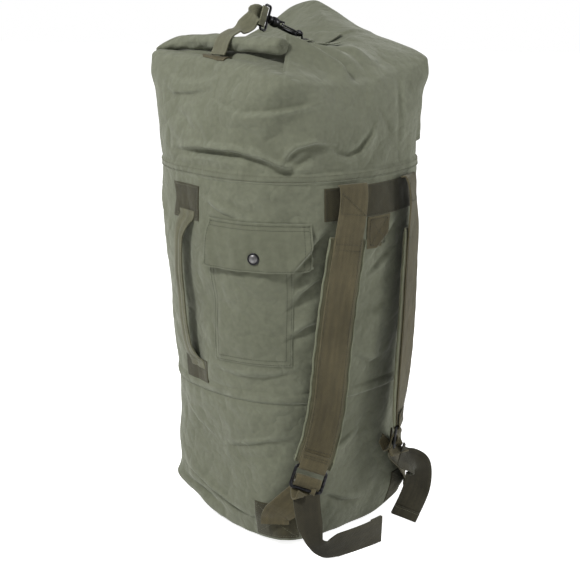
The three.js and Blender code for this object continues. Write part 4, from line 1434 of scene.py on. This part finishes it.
# %% Pads
def shoulder_pad(side):
    body = f"{side}_strap"
    behind = 4.0
    stations = [station(a, z, out - behind, twist) for a, z, out, twist in RUNS[side] if z <= 430]
    at, across, face, length = strap_frame(stations, 121)
    if (face[0] @ np.array([*at[0][:2], 0])) < 0:
        face = -face
    count, sides = 120, 36

    def place(u, v):
        row = np.rint(v * count).astype(int)
        turn = u * 2 * np.pi
        end = np.minimum(v, 1 - v) * length
        plump = np.clip(end / 0.016, 0, 1) ** 0.5 * 0.62 + 0.38
        quilt = 1 - 0.10 * hump(end - 0.030, 0.004)
        cos, sin = np.cos(turn), np.sin(turn)
        taper = 1 - 0.02 * np.cos(v * 44) - 0.02 * (end < 0.004)
        wide = PAD_WIDTH / 2 * np.sign(cos) * np.abs(cos) ** 0.75 * taper
        thick = PAD_THICK / 2 * np.sign(sin) * np.abs(sin) ** 0.8 * plump * quilt
        spots = at[row] + across[row] * wide[:, None] + face[row] * thick[:, None]
        pucker = waves(spots, 40 + len(side), 14, 0.012, 0.05, 0.0005)
        return spots + face[row] * (pucker * np.abs(sin))[:, None]

    shape = grid_shape(sides, count, place, (0.12, length), ring=True,
                       wear=lambda u, v: np.abs(np.cos(u * 2 * np.pi)) ** 6 * 0.9)
    bmesh.ops.holes_fill(shape, edges=shape.edges, sides=sides)
    bmesh.ops.recalc_face_normals(shape, faces=shape.faces)
    pad = finished(f"pad_{side}", shape, "pad_canvas", body, [f"shoulder_pad_{side}"])
    for edge, sign in (("inner", -1), ("outer", 1)):
        wander = 0.0005 * np.sin(np.arange(len(at)) * 0.5 + sign)
        line = at + across * (sign * (PAD_WIDTH / 2 - 0.0006) + wander)[:, None] + face * 0.0016
        piping = rod_shape(line[::3], 0.0013, 10, 110)
        finished(f"pad_piping_{side}_{edge}", piping, "piping_cloth", body)
    front = 0.0052
    rows = [at + across * (sign * 0.0180) + face * front for sign in (-1, 1)]
    rows += [np.linspace(at[i] - across[i] * 0.0185, at[i] + across[i] * 0.0185, 12) + face[i] * front
             for i in (3, 6, 112, 116)]
    return rows, face[0]


pad_rows = {side: shoulder_pad(side) for side in RUNS}

# %% Strap webbing
def shoulder_strap(side):
    body = f"{side}_strap"
    stations = [station(*s) for s in RUNS[side]]
    strap_piece(f"strap_{side}", stations, 0.040, 0.0021, "webbing", body, "webbing",
                [f"strap_webbing_{side}"], count=150, columns=10, ripple=0.0005, seed=11, wear=0.5)
    rows, face = pad_rows[side]
    at, across, over, _ = strap_frame(stations, 151)
    if over[30] @ face < 0:
        over = -over
    corners = [(6, -0.018), (17, 0.018), (17, -0.018), (6, -0.018)]
    for (a, left), (b, right) in zip(corners[:-1], corners[1:]):
        share = np.linspace(0, 1, 20)[:, None]
        line = (at[a] + across[a] * left) * (1 - share) + (at[b] + across[b] * right) * share
        rows.append(line + over[12] * 0.0021)
    stitches(f"strap_stitches_{side}", rows, lambda p: face, "dark_thread", body)


for side in RUNS:
    shoulder_strap(side)

# %% [markdown]
# ## Buckles, base webbing and tails
# Each buckle is a cast ring with a bar that slides in it, and both are round bars swept along a path.
# The base webbing comes up behind the ring, turns over the bar and hangs down again as the free tail.
# The turn is left loose enough for the bar to slide.

# %% Buckles
def ring_shape(points, radius, facing, flat=1.0, sides=14, count=72):
    """A closed bar along a flat loop of points, flattened in the facing direction."""
    loop = np.asarray([*points, points[0]], float)
    run = distances(loop)
    path = places_at(np.linspace(0, run[-1], count + 1), run, loop)
    path[-1] = path[0]
    tangent = unit(np.roll(path[:-1], -1, 0) - np.roll(path[:-1], 1, 0))
    tangent = np.vstack([tangent, tangent[:1]])
    facing = np.broadcast_to(unit(np.asarray(facing, float)), path.shape)
    across = unit(np.cross(tangent, facing))

    def place(u, v):
        row = np.rint(v * count).astype(int)
        return round_bar(path, across, facing, row, u * 2 * np.pi, radius, flat)

    shape = grid_shape(sides, count, place, (radius * 6, run[-1]), ring=True)
    bmesh.ops.recalc_face_normals(shape, faces=shape.faces)
    return shape


def rounded_loop(middle, right, up, half_width, half_height, corner):
    points = []
    for start, (cx, cy) in zip((0, 90, 180, 270), ((1, 1), (-1, 1), (-1, -1), (1, -1))):
        for turn in np.radians(np.linspace(start, start + 90, 9)):
            x = cx * (half_width - corner) + corner * math.cos(turn)
            y = cy * (half_height - corner) + corner * math.sin(turn)
            points.append(middle + right * x + up * y)
    return points


def joined(*shapes):
    """Several closed shapes in one bmesh."""
    whole = shapes[0]
    for shape in shapes[1:]:
        pour(shape, whole)
    return whole


def buckle(side):
    middle, right, up, out = buckle_place(side)
    ring = ring_shape(rounded_loop(middle, right, up, 0.0212, 0.0147, 0.0042), 0.00225, out, 0.70)
    finished(f"buckle_{side}", ring, "black_metal", f"{side}_strap", [f"buckle_frame_{side}"])
    ends = [middle - up * 0.006 + right * x for x in (-0.0186, -0.01, 0, 0.01, 0.0186)]
    bar = rod_shape(ends, 0.0020, 14, 24)
    finished(f"buckle_bar_round_{side}", bar, "grey_metal", f"{side}_slide_bar",
             [f"buckle_bar_{side}"])


# %% Webbing at the buckles
def buckle_webbing(side):
    body = f"{side}_strap"
    middle, right, up, out = buckle_place(side)
    def at(rise, stand):
        return middle + up * (rise / 1000) + out * (stand / 1000)

    # The strap's end turns round the ring's top.
    loop = [(34, 2.3), (24, 2.5), (18.5, 3.2), (15, 3.9), (12.2, 2.9), (11.0, 0.2), (12.2, -2.8), (15, -3.7),
            (18.0, -3.2)]
    strap_piece(f"strap_loop_{side}", [(at(*p), right) for p in loop], 0.0372, 0.0018, "webbing", body,
                "webbing", count=60, seed=3, wear=0.5)
    lines = [[at(rise, 3.45) + right * x for x in (-0.017, 0.017)] for rise in (30, 27)]
    stitches(f"loop_stitches_{side}", lines, lambda p: out, "dark_thread", body, 0.0026)
    base = BASE_ANGLES[side]
    end_angle, end_z, end_out, end_twist = RUNS[side][-1]

    def on_the_way(t, stand):
        return station(lerp(base, end_angle, t), lerp(50, end_z - 30, t), stand, end_twist * t)

    lower = [station(base, 36, 4.6, 0), station(base, 44, 5.4, 0), on_the_way(0.08, 8.4),
             on_the_way(0.25, 9.5), on_the_way(0.7, 12), on_the_way(1, end_out - 10)]
    piece = strap_piece(f"base_webbing_{side}", lower, 0.038, 0.0020, "webbing", None, "webbing",
                        [f"lower_webbing_{side}"], count=70, ripple=0.0006, seed=17, wear=0.5)
    tuple(lower[2][0])
    tuple(lower[-1][0])
    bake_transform(piece)
    first, across = tail_station(side)(*TAILS[side][0])
    # The webbing comes up behind the bar, turns over it and hangs down again in front.
    over_bar = [(-15, -6.4), (-6, -5.0), (1.0, -3.4), (3.4, 0), (1.0, 3.2), (-5.5, 3.2), (-10.5, 0.2),
                (-15, -3.2), (-19.5, -2.6)]
    turn = [lower[-1], *[(at(*p), right) for p in over_bar], (lerp(at(-24, 0), first, 0.5), across),
            (first, across)]
    strap_piece(f"webbing_turn_{side}", turn, 0.0352, 0.0019, "webbing", body, "webbing", count=80, seed=9,
                wear=0.5)


# %% Tails
LEFT_TAIL_SHARES = [0, 0.22, 0.36, 0.44, 0.56, 1]
LEFT_TAIL_WIDTHS = [0.036, 0.034, 0.021, 0.024, 0.036, 0.038]


def left_tail_width(share):
    """Narrower where the tail turns on edge, because it is pinched there."""
    return float(np.interp(share, LEFT_TAIL_SHARES, LEFT_TAIL_WIDTHS))


def tail(side):
    body = f"{side}_tail"
    stations = [tail_station(side)(*s) for s in TAILS[side]]
    width, sign = (left_tail_width, -1) if side == "left" else (0.038, 1)
    strap_piece(f"tail_{side}", stations, width, 0.0020, "tail_webbing", body, "dark_webbing",
                [f"strap_tail_{side}"], count=120, columns=10, ripple=0.0009, seed=23, wear=0.6)
    # The end is folded back on itself and sewn.
    at, across, face, _ = strap_frame(stations, 121)
    hem = [(at[i] + face[i] * sign * 0.0021, across[i]) for i in (106, 110, 114, 117, 120)]
    strap_piece(f"tail_hem_{side}", hem, 0.0375, 0.0019, "tail_webbing", body, "dark_webbing",
                count=20, seed=29, wear=0.8)
    row = [at[108] + face[108] * sign * 0.0033 + across[108] * x for x in (-0.0175, 0.0175)]
    stitches(f"tail_stitches_{side}", [row], lambda p: face[108] * sign, "thread", body,
             0.0026)


for side in RUNS:
    buckle(side)
    buckle_webbing(side)
    tail(side)
    base = BASE_ANGLES[side]
    sewn_patch(f"base_patch_{side}", (base - 11.8, base + 11.8), (0.0075, 0.0615), "dark_webbing",
               "dark_webbing", [f"base_anchor_{side}"], lift=0.0024)
    lines = box_lines((base - 11, base + 11), (0.010, 0.060), 0.5, 0.001, 0.0025, True)
    stitches(f"base_stitches_{side}", lines, outward, "thread", "bag")

# %% [markdown]
# ## The closing strap and its hook
# One webbing is sewn below the rolled hem, goes over it, twists on edge and loops through the hook's
# eye. The hook swivels on a stem, reaches down to the mouth and is closed by a sprung gate. Its bars
# are swept round rods and its neck is a turned part.

# %% Closing strap
top_tree = BVHTree.FromObject(bpy.data.objects["upper_cloth"], bpy.context.evaluated_depsgraph_get())


def drop(x, y, lift=0.0):
    """The point of the folded top straight under x and y."""
    hit = top_tree.ray_cast(Vector((x, y, 0.8)), Vector((0, 0, -1)))[0]
    return np.array([x, y, (hit.z if hit else 0.64) + lift])


def closing_patch():
    def place(u, v):
        side = 2 * v - 1
        left = -31 + 10 * np.abs(side + 0.3)
        x = lerp(left, np.full(len(u), 17.0), u)
        points = [top_frame(a, -124.5 + 7.5 * b, 0) for a, b in zip(x, side)]
        return np.array([drop(p[0], p[1], 0.0022) for p in points])

    shape = grid_shape(30, 16, place, (0.048, 0.019), wear=lambda u, v: 0.5 * (np.abs(2 * v - 1) > 0.85))
    sewn("closing_patch", shape, "webbing", "dark_webbing", ["closing_strap_patch"], "bag", 0.0018,
         round_edges=0.0005)


HOOK_ORIGIN = top_frame(24, -70, 699)
HOOK_TIP = top_frame(22, -4.4, 673.2)
HOOK_ALONG = unit(HOOK_TIP - HOOK_ORIGIN)
HOOK_SIDE = unit(np.cross([0, 0, 1.0], HOOK_ALONG))
HOOK_UP = np.cross(HOOK_ALONG, HOOK_SIDE)


def on_hook(ahead, aside, rise=0.0):
    return HOOK_ORIGIN + (HOOK_ALONG * ahead + HOOK_SIDE * aside + HOOK_UP * rise) / 1000


def closing_strap():
    flat = top_direction(-1, 0, 0)
    start = top_frame(0, -127, 0)
    # Flat up from the patch and over the roll, then turning on edge towards the hook.
    over_roll = [(0, -123.0, 657.5), (0, -119.0, 667), (0, -112.5, 675.4), (0.2, -104, 679.6),
                 (0.5, -98, 681.8), (1.9, -92.8, 683.2)]
    stations = [(drop(start[0], start[1], 0.0045), flat), *[(top_frame(*p), flat) for p in over_roll]]
    stations += [(top_frame(6, -88, 687), top_direction(-0.93, 0, 0.36)),
                 (top_frame(13, -82.5, 693), top_direction(-0.62, 0.1, 0.78))]
    through_eye = [(-9, 5), (-2, 4.2), (2.4, 3.1), (4.3, 0), (2.4, -3.1), (-2, -4.2), (-8, -4.4)]
    stations += [(on_hook(ahead, aside), HOOK_UP) for ahead, aside in through_eye]

    def width(share):
        return float(np.interp(share, [0, 0.45, 0.6, 1], [0.0275, 0.0275, 0.0255, 0.0250]))

    piece = strap_piece("closing_webbing", stations, width, 0.0020, "grip_webbing", None, "webbing",
                        ["closing_strap", "closing_strap_wrap"], count=130, columns=10, ripple=0.0006,
                        seed=31, wear=0.7)
    tuple(top_frame(0.5, -98, 681.8))
    tuple(top_frame(8, -86, 689))
    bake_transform(piece)
    lines = [[on_hook(ahead, aside, x) for x in (-10.5, 10.5)] for ahead, aside in ((-5.5, 5.9), (-7.5, 6.2))]
    stitches("closing_stitches", lines, lambda p: HOOK_SIDE, "dark_thread", "closing_strap",
             0.0026)


closing_patch()
closing_strap()

# %% Hook
COLLAR = [(0, 9.2), (4.6, 9.2), (5.5, 9.9), (5.6, 12), (5.3, 15), (4.4, 16), (2.3, 16.1), (2.3, 22.9),
          (4.2, 23.1), (4.4, 24), (3.8, 24.7), (0, 24.7)]
NECK = [(2.8, 16.8), (5.4, 16.7), (6.2, 17.6), (6.8, 21.5), (6.5, 25.5), (5.4, 28), (3.4, 29.2), (0, 29.4),
        (0, 25.3), (4.8, 25.3), (4.8, 22.6), (2.8, 22.5), (2.8, 16.8)]
NOSE = [(27, 2), (34, 7.6), (46, 9.5), (58, 9.5), (66.5, 7.4), (70.5, 0), (67.5, -6.6), (63.4, -8.8)]
LUG = [(27, -2.4), (30, -5.6), (33.6, -7.4)]
GATE = [(29.6, -6.6), (36, -6.9), (46, -7.0), (56, -6.9), (61.6, -6.7)]


def snap_hook():
    """Its turned and swept parts, in millimetres ahead of the eye and aside."""
    loop = rounded_loop(on_hook(4.8, 0), HOOK_ALONG, HOOK_UP, 0.0048, 0.0162, 0.0026)
    eye = joined(ring_shape(loop, 0.0017, HOOK_SIDE), spun_shape(COLLAR, HOOK_ORIGIN, HOOK_ALONG))
    finished("hook_eye_ring", eye, "black_metal", "closing_strap", ["hook_eye"])
    neck = spun_shape(NECK, HOOK_ORIGIN, HOOK_ALONG)
    nose = rod_shape([on_hook(*p) for p in NOSE], 0.0029, 16, 60)
    lugs = [rod_shape([on_hook(*p, rise) for p in LUG], 0.0016, 12, 14) for rise in (-2.9, 2.9)]
    hook = joined(neck, nose, *lugs)
    finished("hook_body_round", hook, "black_metal", "snap_hook", ["hook_body"])
    gate = rod_shape([on_hook(*p) for p in GATE], 0.0016, 14, 30, flat=0.75)
    finished("gate_leaf", gate, "black_metal", "hook_gate", ["hook_gate"])
    pin = rod_shape([on_hook(31.4, -6.8, rise) for rise in (-4.4, -2, 0, 2, 4.4)], 0.0010, 12, 12)
    finished("gate_pin_round", pin, "grey_metal", "snap_hook", ["gate_pin"])


snap_hook()

# %% [markdown]
# ## The mouth
# The other three sides end in tabs with a grommet, laid over each other on a staple that the hook is
# snapped into. Each tab is cloth cut round its grommet, so its grid goes round the hole and out to the
# tab's outline. Away from the hole it lies down on the folded cloth.

# %% Tabs, grommets and staple
TAB_HALF, TAB_LONG, TAB_HOLE = 0.020, 0.061, 0.0085
GROMMET = [(7.9, -0.5), (9.5, -0.75), (13.6, -0.7), (14.8, -0.45), (14.6, -0.25), (9.3, -0.25), (9.3, 1.85),
           (13.2, 1.85), (13.3, 2.05), (12.4, 2.3), (9.6, 2.45), (8.1, 2.1), (7.9, 0.8), (7.9, -0.5)]


def rim_tab(name, number):
    level = 0.6584 + 0.0033 * number
    heading = math.radians(CLOSURE_FACE + 90 * (number + 1))
    across = np.array([math.cos(heading), math.sin(heading)])
    inward = np.array([-math.sin(heading), math.cos(heading)])

    def place(u, v):
        turn = u * 2 * np.pi
        cos, sin = np.cos(turn), np.sin(turn)
        straight = np.minimum(TAB_HALF / np.maximum(np.abs(cos), 1e-6), TAB_LONG / np.maximum(-sin, 1e-6))
        radius = lerp(TAB_HOLE, np.where(sin >= 0, TAB_HALF, straight), v)
        plan = MOUTH + np.outer(radius * cos, across) + np.outer(radius * sin, inward)
        under = top_height(plan[:, 0], plan[:, 1]) + 0.0018
        away = smooth_step(np.clip((np.hypot(radius * cos, radius * sin) - 0.019) / 0.02, 0, 1))
        ripple = 0.0005 * np.sin(plan[:, 0] * 300 + number) * away
        z = level + 0.0016 + away * (under + 0.0012 - level) + ripple
        return np.column_stack([plan, z])

    shape = grid_shape(96, 22, place, (0.12, 0.05), ring=True, wear=lambda u, v: (v > 0.93) * 0.7)
    face_up(shape)
    sewn(f"tab_{name}", shape, "canvas", "canvas", [f"rim_tab_{name}"], "bag", 0.0015, round_edges=0.0004)
    grommet = spun_shape(GROMMET, (*MOUTH, level), (0, 0, 1), 48)
    finished(f"grommet_ring_{name}", grommet, "black_metal", "bag", [f"grommet_{name}"])


for number, name in enumerate(("right", "back", "left")):
    rim_tab(name, number)


STAPLE = [(-5.6, 0), (-5.6, 13), (-4.1, 18.6), (0, 21), (4.1, 18.6), (5.6, 13), (5.6, 0)]


def staple():
    heading = math.radians(CLOSURE_FACE)
    inward = np.array([-math.sin(heading), math.cos(heading), 0])
    foot = np.array([*MOUTH, 0.657])
    path = [foot + inward * y / 1000 + np.array([0, 0, up / 1000]) for y, up in STAPLE]
    wire = rod_shape(path, 0.0014, 14, 48)
    plate = bmesh.new()
    plate.verts.layers.float.new("worn")
    turned = Matrix.Translation(Vector(foot)) @ Matrix.Rotation(heading, 4, "Z")
    bmesh.ops.create_cube(plate, size=1.0, matrix=turned @ Matrix.Diagonal((0.038, 0.032, 0.0012, 1)))
    ends = [(edge, edge.verts[0].co - edge.verts[1].co) for edge in plate.edges]
    upright = [edge for edge, along in ends if abs(along.normalized().z) > 0.9]
    for edges, offset, segments in ((upright, 0.006, 6), (None, 0.0003, 2)):
        bmesh.ops.bevel(plate, geom=edges or plate.edges[:], offset=offset, affect="EDGES", segments=segments,
                        profile=0.5, material=-1)
    finished("staple_loop", joined(wire, plate), "black_metal", "bag", ["staple"])


staple()
